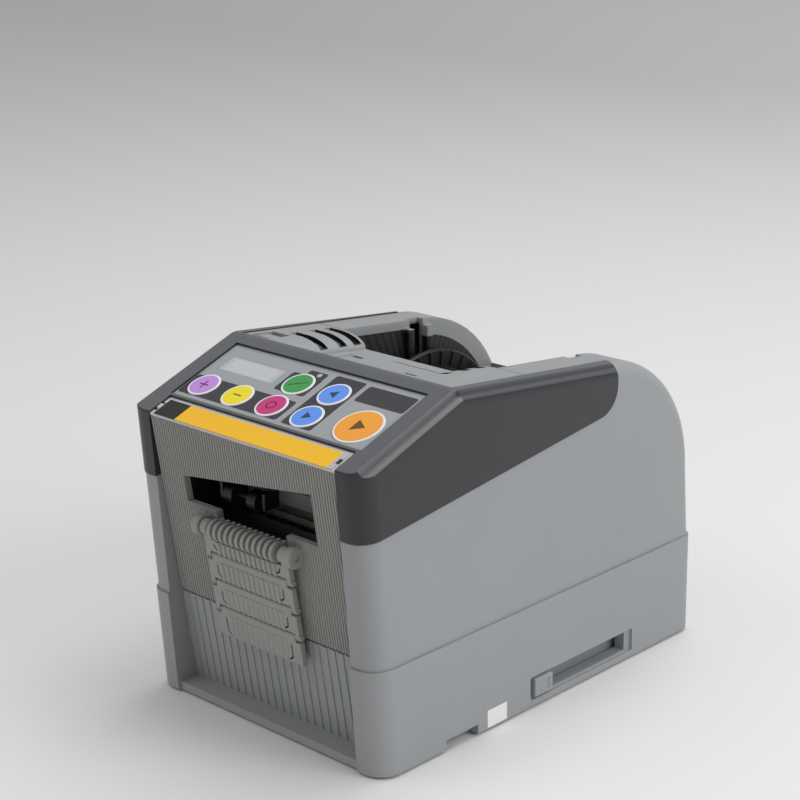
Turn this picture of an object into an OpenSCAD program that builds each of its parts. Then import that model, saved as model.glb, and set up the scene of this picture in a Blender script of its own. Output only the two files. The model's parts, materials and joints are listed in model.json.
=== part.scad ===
// Electric tape dispenser: a counter machine that feeds tape from a reel, cuts it and hands it out in front.
// Millimetres. X runs across the machine, the front faces -Y, Z is up and the feet stand on Z = 0.

/* [Case] */
// Width of the case over the lower shell
case_w = 137; // [132:1:150]
// Length from the front lip to the back wall
case_len = 212; // [208:1:230]
// Height from the table to the crown behind the panel
case_h = 150; // [146:1:160]
// Lean of the front pillars from foot to lip
lip_lean = 8.8; // [5:0.2:11]
// Height of the seam between the lower and the upper shell
seam_h = 46.7; // [44:0.1:50]
// Wall thickness of the shells
wall = 2.6; // [2:0.1:3]
// How far the lower shell stands proud of the upper shell
seam_step = 1; // [0.6:0.1:1.4]
// How far the head cover stands proud of the upper shell
head_step = 0.5; // [0.2:0.1:0.5]
// Plan radius of the front pillars
pillar_r = 10; // [8:0.5:12]
// Radius of the long top edges
edge_r = 7.5; // [6:0.5:9]
// Radius of the round back over the reel
back_r = 60; // [58:0.5:63]
// Draft of the back wall between the seam and the round back
back_draft = 2.5; // [1:0.5:4]
// Fall of the wall tops towards the back, degrees
top_fall = 6; // [4:0.5:8]
// Gap under the case, set by the feet
ground_gap = 1.2; // [0.8:0.1:2]

/* [Panel] */
// Slope of the key panel, degrees
panel_tilt = 20; // [16:0.5:22]
// Length of the panel slope from lip to crown
panel_len = 60; // [58:0.5:66]
// Depth of the overlay below the side rails
rim_h = 1; // [0.5:0.1:1.5]
// Thickness of the keypad overlay
overlay_t = 0.8; // [0.5:0.1:1]
// Half width of the keypad overlay
overlay_half = 55.6; // [55:0.1:57]
// Start of the overlay above the lip, along the slope
overlay_v0 = 14.4; // [14:0.1:16]
// End of the overlay, along the slope
overlay_v1 = 53.6; // [53:0.1:56]
// Radius of the six small keys
key_r = 7.35; // [6:0.05:7.4]
// Radius of the start key
start_r = 10.75; // [9:0.05:11]
// Travel of a key
key_travel = 0.5; // [0.3:0.1:0.6]

/* [Head cover] */
// Level of its lower edge in front, from the lip
head_z = -29.6; // [-31:0.1:-26]
// Rise of its lower edge towards the back, degrees
head_rise = 7.1; // [5:0.1:8]
// Radius of the rounded rear end of its wings
head_end_r = 12.4; // [10:0.1:14]
// Distance of that rear end from the lip
head_len = 154; // [145:1:158]

/* [Front plate and guard] */
// Lean of the front plate, degrees
plate_ang = 8.25; // [7:0.05:9]
// Thickness of the front plate
plate_t = 2.5; // [2:0.1:3]
// Setback of the front plate from the lip
plate_in = 1.2; // [1:0.1:2]
// Half width between the front pillars
cheek_x = 54.4; // [53.5:0.1:55]
// Pitch of the fine ribs on the front plate
fine_pitch = 1.5; // [1.2:0.1:2]
// Pitch of the wide ribs on the kick panel
wide_pitch = 4.7; // [4:0.1:6]
// Height of the rib faces
rib_d = 0.5; // [0.3:0.1:0.8]
// Half width of the tape outlet
outlet_half = 38.5; // [36:0.5:40]
// Level of the outlet's top edge at its left end, from the lip
outlet_left_z = -25.5; // [-27:0.5:-22]
// Level of the outlet's top edge at its right end, from the lip
outlet_right_z = -14.7; // [-19:0.1:-14.6]
// Half width of the notch for the comb
notch_half = 20.5; // [19:0.5:21]
// Level of the guard hinge, from the lip
hinge_z = -43.5; // [-45:0.5:-42]
// Distance of the guard hinge in front of the plate
hinge_off = 4.4; // [4.2:0.1:5]
// Radius of the comb fins and of the ears
guard_r = 4.3; // [4:0.1:4.6]
// Number of comb fins
comb_fins = 12; // [8:1:14]
// Half width of the guard links
link_half = 25; // [24.5:0.1:25.2]
// Pitch of the guard links
link_pitch = 12.4; // [11:0.1:12.8]
// Thickness of the guard links
link_t = 2.5; // [2.2:0.1:2.8]

/* [Tape path and reel] */
// Level of the tape path through the rollers and the blades, from the lip
path_z = -36.5; // [-37:0.5:-35]
// Radius of the reel flange
flange_r = 46; // [42:0.5:46]
// Radius of the reel drum
drum_r = 37.5; // [25:0.5:38]
// Length of the reel drum
drum_len = 66; // [40:1:70]
// Radius of the reel axle
axle_r = 4; // [3:0.1:5]
// Radius of the feed roller
feed_r = 9; // [8:0.1:9.2]
// Radius of the press wheels
press_r = 7.5; // [6:0.1:8]
// Stroke of the moving blade
cut_stroke = 9; // [7:0.5:9]

/* [Side slider] */
// Length of the slot in the right wall
slot_len = 64; // [55:1:66]
// Height of the slot
slot_h = 8.4; // [7:0.1:9]
// Length of the knob
knob_len = 12.5; // [10:0.5:14]

/* [Hidden] */
$fn = 64;

// Colours
case_grey = [0.60, 0.61, 0.62];
head_grey = [0.27, 0.28, 0.29];
plate_grey = [0.52, 0.52, 0.50];
overlay_grey = [0.66, 0.68, 0.69];
black_plastic = [0.06, 0.06, 0.07];
steel = [0.72, 0.73, 0.75];
board_green = [0.10, 0.34, 0.20];
gear_white = [0.90, 0.90, 0.86];

// Clearances and small sizes
fit = 0.1;        // between fixed pieces that drop into each other
run = 0.05;       // radial, between a shaft and its bore
slip = 0.3;       // between pieces that slide past each other
over = 30;        // how far a cut runs past what it cuts
hull_fn = 32;     // roundness of hulled corners
arc_steps = 14;   // steps of the round back
edge_steps = 4;   // steps of the rounded top edge

// Places on the case
lip_z = case_h - panel_len * sin(panel_tilt);
head_low = lip_z + head_z;
pin_z = lip_z + hinge_z;
tape_z = lip_z + path_z;
outlet_tops = [lip_z + outlet_left_z, lip_z + outlet_right_z];
plate_k = tan(plate_ang);
guard_reach = hinge_off + guard_r - plate_in - plate_k * (lip_z - pin_z);
y_rear = (case_len + guard_reach) / 2;
y_tip = y_rear - case_len;
y_crown = y_tip + panel_len * cos(panel_tilt);
lean_k = lip_lean / lip_z;
arc_y = y_rear - back_draft - back_r;
arc_z = case_h - (arc_y + back_r * sin(top_fall) - y_crown) * tan(top_fall) - back_r * cos(top_fall);
function front_y(z) = y_tip + lip_lean - lean_k * z;
function plate_y(z) = y_tip + plate_in + (lip_z - z) * plate_k;
upper_g = seam_step;               // inset of the upper shell's outside
head_g = seam_step - head_step;    // inset of the head cover's outside
inner_g = seam_step + wall;        // inset of the inside of both
floor_z = ground_gap + wall;       // top of the floor
hinge_y = plate_y(pin_z) - hinge_off;
wing_in = 0.2;                     // flat width between the rounded edge and the wings' inner edge
wing_x = case_w / 2 - edge_r - wing_in;
wall_x = case_w / 2 - inner_g;     // inside of the upper shell's walls
head_end = y_tip + head_len;       // rear end of the head cover's wings
cheek_deep = plate_t + 6;          // depth of the pillars' inner walls behind the front plate
plate_foot = 0.8;                  // gap between the front plate and the seam

// Levels on the panel, along its normal
panel_top = -head_g;
overlay_top = panel_top - rim_h;
overlay_low = overlay_top - overlay_t;
web_t = 2.2;
web_low = overlay_low - web_t;
flange_v = overlay_v0 - 1.6;       // end of the label seat, along the slope
flange_t = 2;
cap_rise = 0.5;
cap_lip = 0.35;                    // retaining lip of a key
cap_lip_t = 1.5;
cap_low = web_low - slip - cap_lip_t;
switch_h = 3;
board_top = cap_low - key_travel - fit - switch_h;
board_t = 1.6;
board_in = 1;                      // the board's edge inside the overlay's
tact_w = 6;

// Keys, display and lamp: place along u and v on the panel
plus_uv = [-46.3, 24.8];
minus_uv = [-25.2, 24.3];
select_uv = [-4.8, 24.3];
mode_uv = [-4.9, 40.2];
reverse_uv = [16, 40];
forward_uv = [16, 24];
start_uv = [42.3, 26.7];
small_keys = [plus_uv, minus_uv, select_uv, mode_uv, reverse_uv, forward_uv];
lamp_uv = [-0.7, 48.6];
lamp_r = 1.5;
window_u = [-49.7, -17.1];
window_v = [36.2, 46.1];
window_ledge = 1.5;                // width of the seat under the display window
post_uv = [[-52.6, 16.8], [52.6, 16.8], [-52.6, 50], [52.6, 50]];
post_r = 1.6;
label_u = 52.2;
label_v = [1, 11];
label_t = 0.3;

// Deck and tape bay
deck_y0 = y_crown + 2;
bay_y0 = y_crown + 26.2;
deck_t = 2.2;
deck_y1 = y_crown + 46.4;
deck_v = [(deck_y0 - y_crown) / cos(top_fall), (deck_y1 - y_crown) / cos(top_fall)];
deck_drop = 6;                     // floor of the deck below the wall tops
deck_half = 30;                    // half width of that floor
deck_steps = 8;                    // steps of the rounded flanks
wall_top = 15.8;                   // width of the wall tops beside the bay
crest_x = wing_x - wall_top;
deck_top = -upper_g - deck_drop;
deck_low = deck_top - deck_t;
ledge_len = 8;                     // ledge of the head cover under the deck
ledge_t = 2.5;
deck_slit = [[-6, 27], [38.6, 39.4]];
deck_slit_deep = 0.8;
deck_slots = [[[12.7, 19.3], [25.7, 27.3]], [[-23, -17], [30, 33]]];
tub_t = 2;
tub_x = crest_x + tub_t;
tub_r = back_r - inner_g - slip;
tub_end = 15;                      // angle above the axle where the rear wall stops, degrees
tub_floor = 24;
bay_y1 = arc_y + tub_r * cos(tub_end) + slip;
rim_z = arc_z + tub_r * sin(tub_end);
axle_half = tub_x - 0.4;
cradle_t = 3;
cradle_half = axle_r + 4;
cradle_low = arc_z - 3 * axle_r;
cradle_top = arc_z + 56;
vent_w = 3.2;
vent_v = [22.6, 34, 42.7];       // middles of the vents along the deck
vent_in = 1.5;                     // from the floor to the foot of a vent
vent_out = 6;                      // from the crest to the outer end of a vent
leg_x = tub_x - 5;
leg_r = 4;
leg_y = [bay_y0 + 10, bay_y1 - 16];

// Tape path
gap_tape = 0.15;                   // half of the nip between the rollers
cutter_y = plate_y(tape_z) + 20.3;
blade_t = 1;
blade_gap = 0.15;
fixed_t = 1.2;
fixed_y = cutter_y + blade_t + blade_gap;
carrier_t = 2.5;
feed_y = cutter_y + 19;
feed_z = tape_z - gap_tape - feed_r;
press_z = tape_z + gap_tape + press_r;
frame_x = 42.4;
frame_t = 1.6;
frame_y0 = cutter_y - 2;
frame_back = 34;                   // frames behind the feed shaft
frame_y1 = feed_y + frame_back;
frame_top = tape_z + 25;
frame_screw_y = [frame_y0 + 14, frame_y1 - 14];
frame_foot_in = 6;                 // the foot flange stops this far from the sheet's ends
tie_w = 6;
tie_y = frame_y1 - 2 - tie_w;
tie_z = [tape_z + 7, floor_z + 16];
sensor_half = 8;
sensor_h = 5;
collar_r = 1.5;                    // how far the collars stand out round the stubs
ballast_t = 4;
ballast_z = floor_z + ballast_t;
ballast_x = 50;
ballast_y0 = plate_y(0) + wall + 1;
foot_w = 12;                       // width of the frames' foot flanges
outlet_low = tape_z - 0.5;
notch_z = pin_z + 0.5;
throat_half = outlet_half + 0.5;
throat_t = 2;
throat_lo = notch_z + 0.3;
throat_hi = outlet_tops[1] + 2;
throat_y1 = frame_y0 - slip;

// Gears, module 1
pressure = 20;
addendum = 0.8;
dedendum = 1.05;
backlash = 0.12;
gear_w = 6;
flank_steps = 3;                   // points along a tooth's flank
feed_n = 20;
idler_n = 24;
pinion_n = 12;
cutter_n = 16;
idler_ang = -60;
pinion_ang = -75;
cutter_ang = -35;
side_x = -(frame_x + frame_t + 2 + gear_w / 2);   // middle of the gear train beside the left frame
shaft_r = 3;
shaft_fit = 0.02;                  // radial, where a wheel is pressed on its shaft
feed_shaft_x = [side_x - gear_w / 2 - 1, frame_x + frame_t + 3];
press_shaft_r = 2.5;
press_x = [-24, -8, 8, 24];
press_w = 8;
bush_rim = 1.5;
bush_rim_t = 1.2;
bush_r = 5;
stub_r = 2.5;
motor_shaft_r = 1.5;
motor_r = 12;
feed_motor_len = 32;
idler_yz = polar([feed_y, feed_z], (feed_n + idler_n) / 2, idler_ang);
pinion_yz = polar(idler_yz, (idler_n + pinion_n) / 2, pinion_ang);
idler_rot = mesh(0, idler_ang, feed_n, idler_n);
pinion_rot = mesh(idler_rot, pinion_ang, idler_n, pinion_n);

// Cutter drive
rack_x = 3;                        // middle of the rack and of its gears
rack_back = 0.5;                   // strip between the carrier and the rack's root
rack_y = cutter_y + blade_t + carrier_t + dedendum + rack_back;
rack_root = rack_y - dedendum;
rack_spare = 4;                    // teeth run this far past the stroke
rack_sink = 0.2;                   // how deep the teeth sink into the strip
half_pitch_line = PI / 4 - backlash / 2;
cutter_drop = 35;                  // the cutter gear below the tape path
cutter_gear_yz = [rack_y + cutter_n / 2, tape_z - cutter_drop];
cutter_pinion_yz = polar(cutter_gear_yz, (cutter_n + pinion_n) / 2, cutter_ang);
cutter_pinion_rot = mesh(0, cutter_ang, cutter_n, pinion_n);
carrier_top = tape_z - 7;
carrier_h = 16;
tongue_h = 12;
rack_low = cutter_gear_yz[1] - cut_stroke - 9;
blade_top = tape_z - 2.5;
blade_h = 14.5;
fixed_low = tape_z + 2.5;
fixed_h = 12.5;
fixed_tie_z = fixed_low + 8.5;     // bottom of the bar behind the fixed blade
cutter_motor_x = rack_x + gear_w / 2 + 2;
bracket_t = 1.6;
bracket_x = rack_x - gear_w / 2 - 1.2;
bracket_y0 = rack_y + 1.4;
bracket_len = 30;
bracket_screw_in = 7;

// Exit wheels and finger guard in the outlet
exit_r = 4.6;
exit_w = 5;
exit_x = [-20, -6];
exit_yz = [cutter_y - 11, tape_z + slip + exit_r];
exit_shaft_r = 1.2;
finger_y = cutter_y - 5.5;
finger_t = 1.2;
lug_t = 1.5;
lug_x = [exit_x[0] - exit_w, exit_x[1] + exit_w];
lug_half = 2.5;                    // half width of the lugs that carry the exit wheels

// Comb, ears and guard links
comb_pitch = (2 * notch_half - 1) / comb_fins;
fin_w = comb_pitch * 0.55;
lug_root = 0.5;                    // how deep a lug's neck runs into the plate
lug_drop = 1.2;                    // how far the neck stays below the top of the lug
ear_w = 4.1;
ear_x = link_half + slip + ear_w / 2;
hinge_pin_r = 1.2;
hanger_w = 4;                      // width of the eyes that hang the first link
link_pin_r = 0.75;
link_ear = 2.3;
knuckle_r = link_t / 2;
link_gap = knuckle_r + rib_d + slip;
slit_w = 0.8;
slit_x = link_half - 5.5;
slit_r = 2.2;
slit_in = 1.5;                     // solid strip above and below a slit

// Reel
reel_gap = 2.8;                    // between the reel's flange and the cradle
drum_wall = 3;
hub_r = axle_r + 4;
flange_t_reel = 3;
drum_x0 = -(tub_x - tub_t - cradle_t - reel_gap - flange_t_reel);   // left end of the drum
flange_ribs = 36;
flange_rib_w = 1.2;
flange_rib_h = 0.8;

// Guide roller in the bay
guide_r = 5;
guide_pin_r = 2;
guide_yz = [bay_y0 + 11, tape_z + 18];
guide_half = 30;

// Feet, screws and what sits in the lower shell
foot_r = 5;
foot_deep = 1.2;                   // how deep a foot sits in the floor
foot_x = 58;
foot_y = [y_tip + 50.6, y_rear - 23.4];
screw_x = wall_x - 3.9;
screw_y = [y_tip + 26.6, y_rear - 12.4];
boss_r = 3.6;
screw_r = 1.5;
head_r = 2.9;
head_t = 1.4;
screw_reach = 11;                  // screw length above the seam
sill_h = 8.5;
sill_lip = 2.4;
sill_in = 1.2;
slot_y0 = y_tip + 98.6;
slot_z0 = floor_z + 1.2;
slot_recess = 1.4;
block_x = case_w / 2 - wall - 4;
slider_t = 1.9;
slider_edge = 2.2;                 // how far the slider's plate reaches behind the wall
track_x = block_x - slider_t - 2 * fit;
track_t = 2.2;
notch_y = [y_tip + 45.6, y_tip + 64.6];
notch_h = 5.4;
mains_z = floor_z + 10.4;
jack_x = 30;
jack_r = 4.1;
jack_body = 12;
switch_x = -35;
switch_w = 14;
rocker_w = 9;
rocker_r = 8.4;
rocker_set = 7.5;                  // depth of the rocker's axis behind the back wall
rocker_tilt = 8;
rocker_face = [6.4, 5.7];           // reach of its ends and of its middle
rocker_half = 5.2;
rocker_back = 2;
board_back = 27.4;                 // between the main board and the back wall
board_len = 60;
board_y = [y_rear - board_back - board_len, y_rear - board_back];
board_half = 35;
board_post = 8;
board_post_in = 4;                 // posts under the main board, in from its corners
main_z = floor_z + board_post + board_t;
chips = [[[-22, -6], [12, 34], 8], [[4, 18], [10, 24], 2.5]];   // x, y on the board and height
can_place = [24, 44];
can_r = 5;
can_h = 9;
slot_ends = [6, 8];                // the block behind the slot runs on this far at its two ends
slot_frame = [1, 4];               // the shallow frame round the slot, at its two ends
recess_up = 1;
head_sink = 0.4;                   // case screw heads sit this deep

// A point at an angle and a distance from another
function polar(p, d, a) = [p[0] + d * cos(a), p[1] + d * sin(a)];
// Turn of a gear whose teeth mesh with a neighbour turned by rot, in the direction a
function mesh(rot, a, n1, n2) = a + 180 - (rot - a) * n1 / n2 + 180 / n2;

// Gear outline: involute flanks over a radial root, on a pitch radius of half the tooth count
function involute(a) = tan(a) * 180 / PI - a;
function base_r(n) = n / 2 * cos(pressure);
function half_tooth(n, r) =
    (90 - backlash * 90 / PI) / n + involute(pressure) - involute(acos(min(1, base_r(n) / r)));
function on_ring(r, a) = [r * cos(a), r * sin(a)];
function flank_r(n, j) = base_r(n) + (n / 2 + addendum - base_r(n)) * j / flank_steps;
function tooth(n, c) =
    let (root = n / 2 - dedendum, foot = half_tooth(n, base_r(n)))
    concat([on_ring(root, c - foot)],
        [for (j = [0:flank_steps]) on_ring(flank_r(n, j), c - half_tooth(n, flank_r(n, j)))],
        [for (j = [flank_steps:-1:0]) on_ring(flank_r(n, j), c + half_tooth(n, flank_r(n, j)))],
        [on_ring(root, c + foot)]);
function gear_outline(n) = [for (i = [0:n - 1]) each tooth(n, 360 * i / n)];

// Rack outline: teeth that face +Y on the pitch line rack_y, with a gap level with the gear
function rack_tooth(c) = [
    [rack_root - rack_sink, c - half_pitch_line - dedendum * tan(pressure)],
    [rack_root, c - half_pitch_line - dedendum * tan(pressure)],
    [rack_y + addendum, c - half_pitch_line + addendum * tan(pressure)],
    [rack_y + addendum, c + half_pitch_line - addendum * tan(pressure)],
    [rack_root, c + half_pitch_line + dedendum * tan(pressure)],
    [rack_root - rack_sink, c + half_pitch_line + dedendum * tan(pressure)]];

// Ribbed plate outline, seen from above: ribs stand in front of y = 0, the back is at y = t
function rib_outline(half, pitch, t) =
    let (n = floor((2 * half - pitch) / pitch), x0 = -n * pitch / 2, rib = pitch * 0.62)
    concat([[half, 0], [half, t], [-half, t], [-half, 0]],
        [for (i = [0:n - 1]) let (x = x0 + (i + 0.5) * pitch - rib / 2)
            each [[x, 0], [x, -rib_d], [x + rib, -rib_d], [x + rib, 0]]]);

// Outline of the case from the side, as y and z: i insets the panel, top and back, g insets the front
function lip_point(i, g) =
    let (c = cos(panel_tilt), d = sin(panel_tilt), s = (i * (lean_k * c - d) + g) / (c + lean_k * d))
    [y_tip + i * d + s * c, lip_z - i * c + s * d];
function crown_point(i) =
    let (n1 = [-sin(panel_tilt), cos(panel_tilt)], n2 = [sin(top_fall), cos(top_fall)])
    [y_crown, case_h] - i * (n1 + n2) / (1 + n1 * n2);
function side_profile(i, g) = concat(
    [[front_y(-g) + g, -g], lip_point(i, g), crown_point(i)],
    [for (j = [0:arc_steps]) let (a = (90 - top_fall) * (1 - j / arc_steps))
        [arc_y + (back_r - i) * cos(a), arc_z + (back_r - i) * sin(a)]],
    [[y_rear - i, seam_h], [y_rear - i, -g]]);

// Outline of the tape bay from the side, inset by i and open at the top
function tub_profile(i) = concat(
    [[bay_y0 + i, tub_floor + i], [bay_y0 + i, case_h + over], [bay_y1 - slip - i, case_h + over]],
    [for (a = [tub_end:-5:0]) [arc_y + (tub_r - i) * cos(a), arc_z + (tub_r - i) * sin(a)]],
    [[arc_y + tub_r - i, tub_floor + i]]);

// Outline of the deck across the machine: a floor between rounded flanks and the wall tops
function deck_flank(t) = [for (j = [0:deck_steps]) let (a = 90 * j / deck_steps)
    [crest_x - (crest_x - deck_half - t) * sin(a), deck_top + (deck_drop - t) * cos(a)]];
function mirrored(points) = [for (p = points) [-p[0], p[1]]];
function backwards(points) = [for (i = [len(points) - 1:-1:0]) points[i]];
function deck_outline(half) =
    let (upper = concat([[half, -upper_g]], deck_flank(0)),
        under = concat([[half, -upper_g - deck_t]], deck_flank(deck_t), [[deck_half + deck_t, deck_low]]))
    concat(upper, backwards(mirrored(upper)), mirrored(under), backwards(under));

// Outline of the head cover from the side
function head_edge(y) = head_low + (y - y_tip) * tan(head_rise);
function head_profile() =
    let (cy = head_end - head_end_r, cz = head_edge(cy) + head_end_r / cos(head_rise))
    concat([[y_tip - over, head_edge(y_tip - over)]],
        [for (a = [head_rise - 90:8:0]) [cy + head_end_r * cos(a), cz + head_end_r * sin(a)]],
        [[head_end, cz], [head_end, case_h + over], [y_tip - over, case_h + over]]);

// Turns an outline in y and z into a prism across the machine
module across(w) rotate([90, 0, 90]) linear_extrude(w, center = true) children();
module rod(r, w) rotate([0, 90, 0]) cylinder(r = r, h = w, center = true);
module stub(r, x) translate([x[0], 0, 0]) rotate([0, 90, 0]) cylinder(r = r, h = x[1] - x[0]);
module both_sides() {
    children();
    mirror([1, 0, 0]) children();
}
module box(x, y, z) translate([x[0], y[0], z[0]]) cube([x[1] - x[0], y[1] - y[0], z[1] - z[0]]);

// Frames of reference: the panel slope, the leaning front plate, the falling top and the guard hinge
module on_panel() translate([0, y_tip, lip_z]) rotate([panel_tilt, 0, 0]) children();
module on_plate() translate([0, y_tip + plate_in, lip_z]) rotate([plate_ang, 0, 0]) children();
module on_top() translate([0, y_crown, case_h]) rotate([-top_fall, 0, 0]) children();
module on_hinge(k) translate([0, hinge_y, pin_z]) rotate([plate_ang, 0, 0])
    translate([0, 0, -link_pitch * (k - 1)]) children();

// The whole case as a solid, inset by g: rounded top edges, then rounded front pillars
module body_layers(g) {
    r = max(edge_r - g, 1);
    hull()
        for (j = [0:edge_steps])
            across(case_w - 2 * g - 2 * r * (1 - cos(90 * j / edge_steps)))
                polygon(side_profile(g + r * (1 - sin(90 * j / edge_steps)), g));
}
module body_plan(g) {
    flare = 2;
    top = case_h + over;
    hull()
        both_sides() {
            for (z = [-over, top])
                translate([case_w / 2 - pillar_r, front_y(z) + pillar_r, z])
                    cylinder(r = pillar_r - g, h = 0.1, $fn = hull_fn);
            box([case_w / 2 - flare, case_w / 2 + flare], [y_rear, y_rear + flare], [-over, top]);
        }
}
module body(g) intersection() {
    body_layers(g);
    body_plan(g);
}
// A shell between two insets, with the children as inner material that stays
module case_shell(g, inner) difference() {
    body(g);
    difference() {
        body(inner);
        children();
    }
}

// Regions that divide the shells
module head_zone() {
    intersection() {
        across(case_w + over) polygon(head_profile());
        union() {
            on_top() box([-case_w, case_w], [-case_len, deck_v[0]], [-case_h, 2 * over]);
            both_sides() box([wing_x, case_w], [y_tip - over, head_end + over], [0, case_h + over]);
        }
    }
}
module bay_zone() box([-wing_x, wing_x], [y_crown, bay_y1], [rim_z, case_h + over]);
module front_gap(deep) on_plate() box([-cheek_x, cheek_x], [-over, deep], [-case_h, over]);
module cheeks() on_plate() both_sides() box([cheek_x, cheek_x + wall], [-over, cheek_deep], [-case_h, over]);
module vents() on_top() both_sides() for (v = vent_v)
    box([deck_half + vent_in, crest_x + vent_out], [v - vent_w / 2, v + vent_w / 2],
        [deck_top + deck_t / 2, over]);

// Shells
module screw_places() both_sides() for (y = screw_y) translate([screw_x, y, 0]) children();
module foot_places() both_sides() for (y = foot_y) translate([foot_x, y, 0]) children();
module kick_panel() {
    on_plate() translate([0, 0, -case_h])
        linear_extrude(case_h) polygon(rib_outline(cheek_x, wide_pitch, wall));
    across(2 * cheek_x + wall) polygon([[plate_y(sill_h) + 1, sill_h], [plate_y(sill_h), sill_h],
        [front_y(0) + sill_in, ground_gap + sill_lip], [front_y(0) + sill_in, 0], [plate_y(sill_h) + 1, 0]]);
}
module lower_inside() {
    box([-case_w, case_w], [y_tip - over, y_rear + over], [0, floor_z]);
    cheeks();
    screw_places() cylinder(r = boss_r, h = seam_h);
    box([block_x, case_w / 2], [slot_y0 - slot_ends[0], slot_y0 + slot_len + slot_ends[1]],
        [0, slot_z0 + slot_h + wall]);
    both_sides() for (y = [board_y[0] + board_post_in, board_y[1] - board_post_in])
        translate([board_half - board_post_in, y, 0]) cylinder(r = post_r + 1, h = floor_z + board_post);
}
module lower_case() color(case_grey) difference() {
    intersection() {
        union() {
            difference() {
                case_shell(0, wall) lower_inside();
                front_gap(0);
            }
            kick_panel();
        }
        box([-case_w, case_w], [y_tip - over, y_rear + over], [ground_gap, seam_h]);
    }
    screw_places() {
        cylinder(r = screw_r + fit, h = seam_h + over);
        cylinder(r = head_r + fit, h = ground_gap + head_t + head_sink);
    }
    foot_places() cylinder(r = foot_r + run, h = ground_gap + foot_deep);
    box([block_x - 1, case_w], [slot_y0, slot_y0 + slot_len], [slot_z0, slot_z0 + slot_h]);
    box([case_w / 2 - slot_recess, case_w], [slot_y0 - slot_frame[0], slot_y0 + slot_len + slot_frame[1]],
        [slot_z0 - recess_up, slot_z0 + slot_h + recess_up]);
    box([wall_x - 1, case_w], notch_y, [0, notch_h]);
    translate([jack_x, y_rear, mains_z]) rotate([90, 0, 0])
        cylinder(r = jack_r + fit, h = 2 * over, center = true);
    box([switch_x - switch_w / 2 - fit, switch_x + switch_w / 2 + fit], [y_rear - wall - 1, y_rear + over],
        [mains_z - switch_w / 2 - fit, mains_z + switch_w / 2 + fit]);
}
module upper_boss() screw_places() translate([0, 0, seam_h]) {
    cylinder(r = boss_r, h = screw_reach + 2);
    box([0, 8], [-1, 1], [0, screw_reach + 2]);
}
module upper_case() color(case_grey) difference() {
    intersection() {
        case_shell(upper_g, inner_g) {
            cheeks();
            upper_boss();
        }
        box([-case_w, case_w], [y_tip - over, y_rear + over], [seam_h, case_h + over]);
    }
    head_zone();
    front_gap(cheek_deep);
    bay_zone();
    screw_places() translate([0, 0, seam_h]) cylinder(r = screw_r + run, h = 2 * screw_reach, center = true);
}
module panel_cut(u, v, low) on_panel() box(u, v, [low, over]);
module key_hole(uv, r, low) on_panel() translate([uv[0], uv[1], low]) cylinder(r = r + fit, h = over);
module key_holes(low) {
    for (uv = small_keys) key_hole(uv, key_r, low);
    key_hole(start_uv, start_r, low);
    key_hole(lamp_uv, lamp_r, low);
}
module head_cover() color(head_grey) {
    difference() {
        intersection() {
            case_shell(head_g, inner_g) {
                on_panel() box([-case_w, case_w], [flange_v + fit, panel_len + over], [web_low, over]);
                cheeks();
                on_top() box([-case_w, case_w], [0, ledge_len], [deck_low - ledge_t, over]);
            }
            head_zone_with_ledge();
        }
        front_gap(cheek_deep);
        panel_cut([-cheek_x, cheek_x], [-over, flange_v + fit], -over);
        panel_cut([-1, 1] * (overlay_half + fit), [overlay_v0 - fit, overlay_v1 + fit], overlay_low);
        panel_cut([window_u[0] + window_ledge, window_u[1] - window_ledge],
            [window_v[0] + window_ledge, window_v[1] - window_ledge], -over);
        key_holes(-over);
    }
    for (uv = post_uv)
        on_panel() translate([uv[0], uv[1], board_top])
            cylinder(r = post_r, h = web_low - board_top + web_t / 4);
}
// The head cover's own region reaches a little under the deck, as a ledge
module head_zone_with_ledge() {
    head_zone();
    on_top() box([-deck_half, deck_half], [0, ledge_len], [deck_low - ledge_t, deck_low]);
}
module deck_plate() color(case_grey) difference() {
    on_top() translate([0, deck_v[1], 0]) rotate([90, 0, 0])
        linear_extrude(deck_v[1] - deck_v[0] - fit) polygon(deck_outline(wing_x - fit));
    vents();
    on_top() box(deck_slit[0], deck_slit[1], [deck_top - deck_slit_deep, over]);
    for (s = deck_slots) on_top() box(s[0], s[1], [-over, over]);
}
module cradle()
    box([tub_x - tub_t - cradle_t, tub_x - 1], [arc_y - cradle_half, arc_y + cradle_half],
        [cradle_low, cradle_top]);
module tape_bay() color(case_grey) difference() {
    union() {
        intersection() {
            body(upper_g);
            difference() {
                across(2 * tub_x) polygon(tub_profile(0));
                across(2 * (tub_x - tub_t)) polygon(tub_profile(tub_t));
            }
        }
        intersection() {
            case_shell(upper_g, inner_g);
            both_sides()
                box([tub_x - tub_t, wing_x - fit], [deck_y1 + fit, bay_y1 - fit], [rim_z + fit, case_h + over]);
        }
        both_sides() cradle();
        both_sides() for (y = leg_y)
            translate([leg_x, y, floor_z]) cylinder(r = leg_r, h = tub_floor - floor_z + 1);
    }
    translate([0, arc_y, arc_z]) rod(axle_r + fit, case_w);
    box([-tub_x - 1, tub_x + 1], [arc_y - axle_r - fit, arc_y + axle_r + fit], [arc_z, cradle_top + over]);
    translate([0, guide_yz[0], guide_yz[1]]) rod(guide_pin_r + run, case_w);
    box([-guide_half - 6, guide_half + 6], [bay_y0 - 1, bay_y0 + tub_t + 1], [tape_z - 4, tape_z + 26]);
    on_top() box([-case_w, case_w], [-over, deck_v[1] + fit], [-upper_g - deck_t - fit, over]);
    on_top() box([-crest_x - tub_t / 4, crest_x + tub_t / 4], [-over, deck_v[1] + fit], [deck_low - fit, over]);
}
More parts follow.
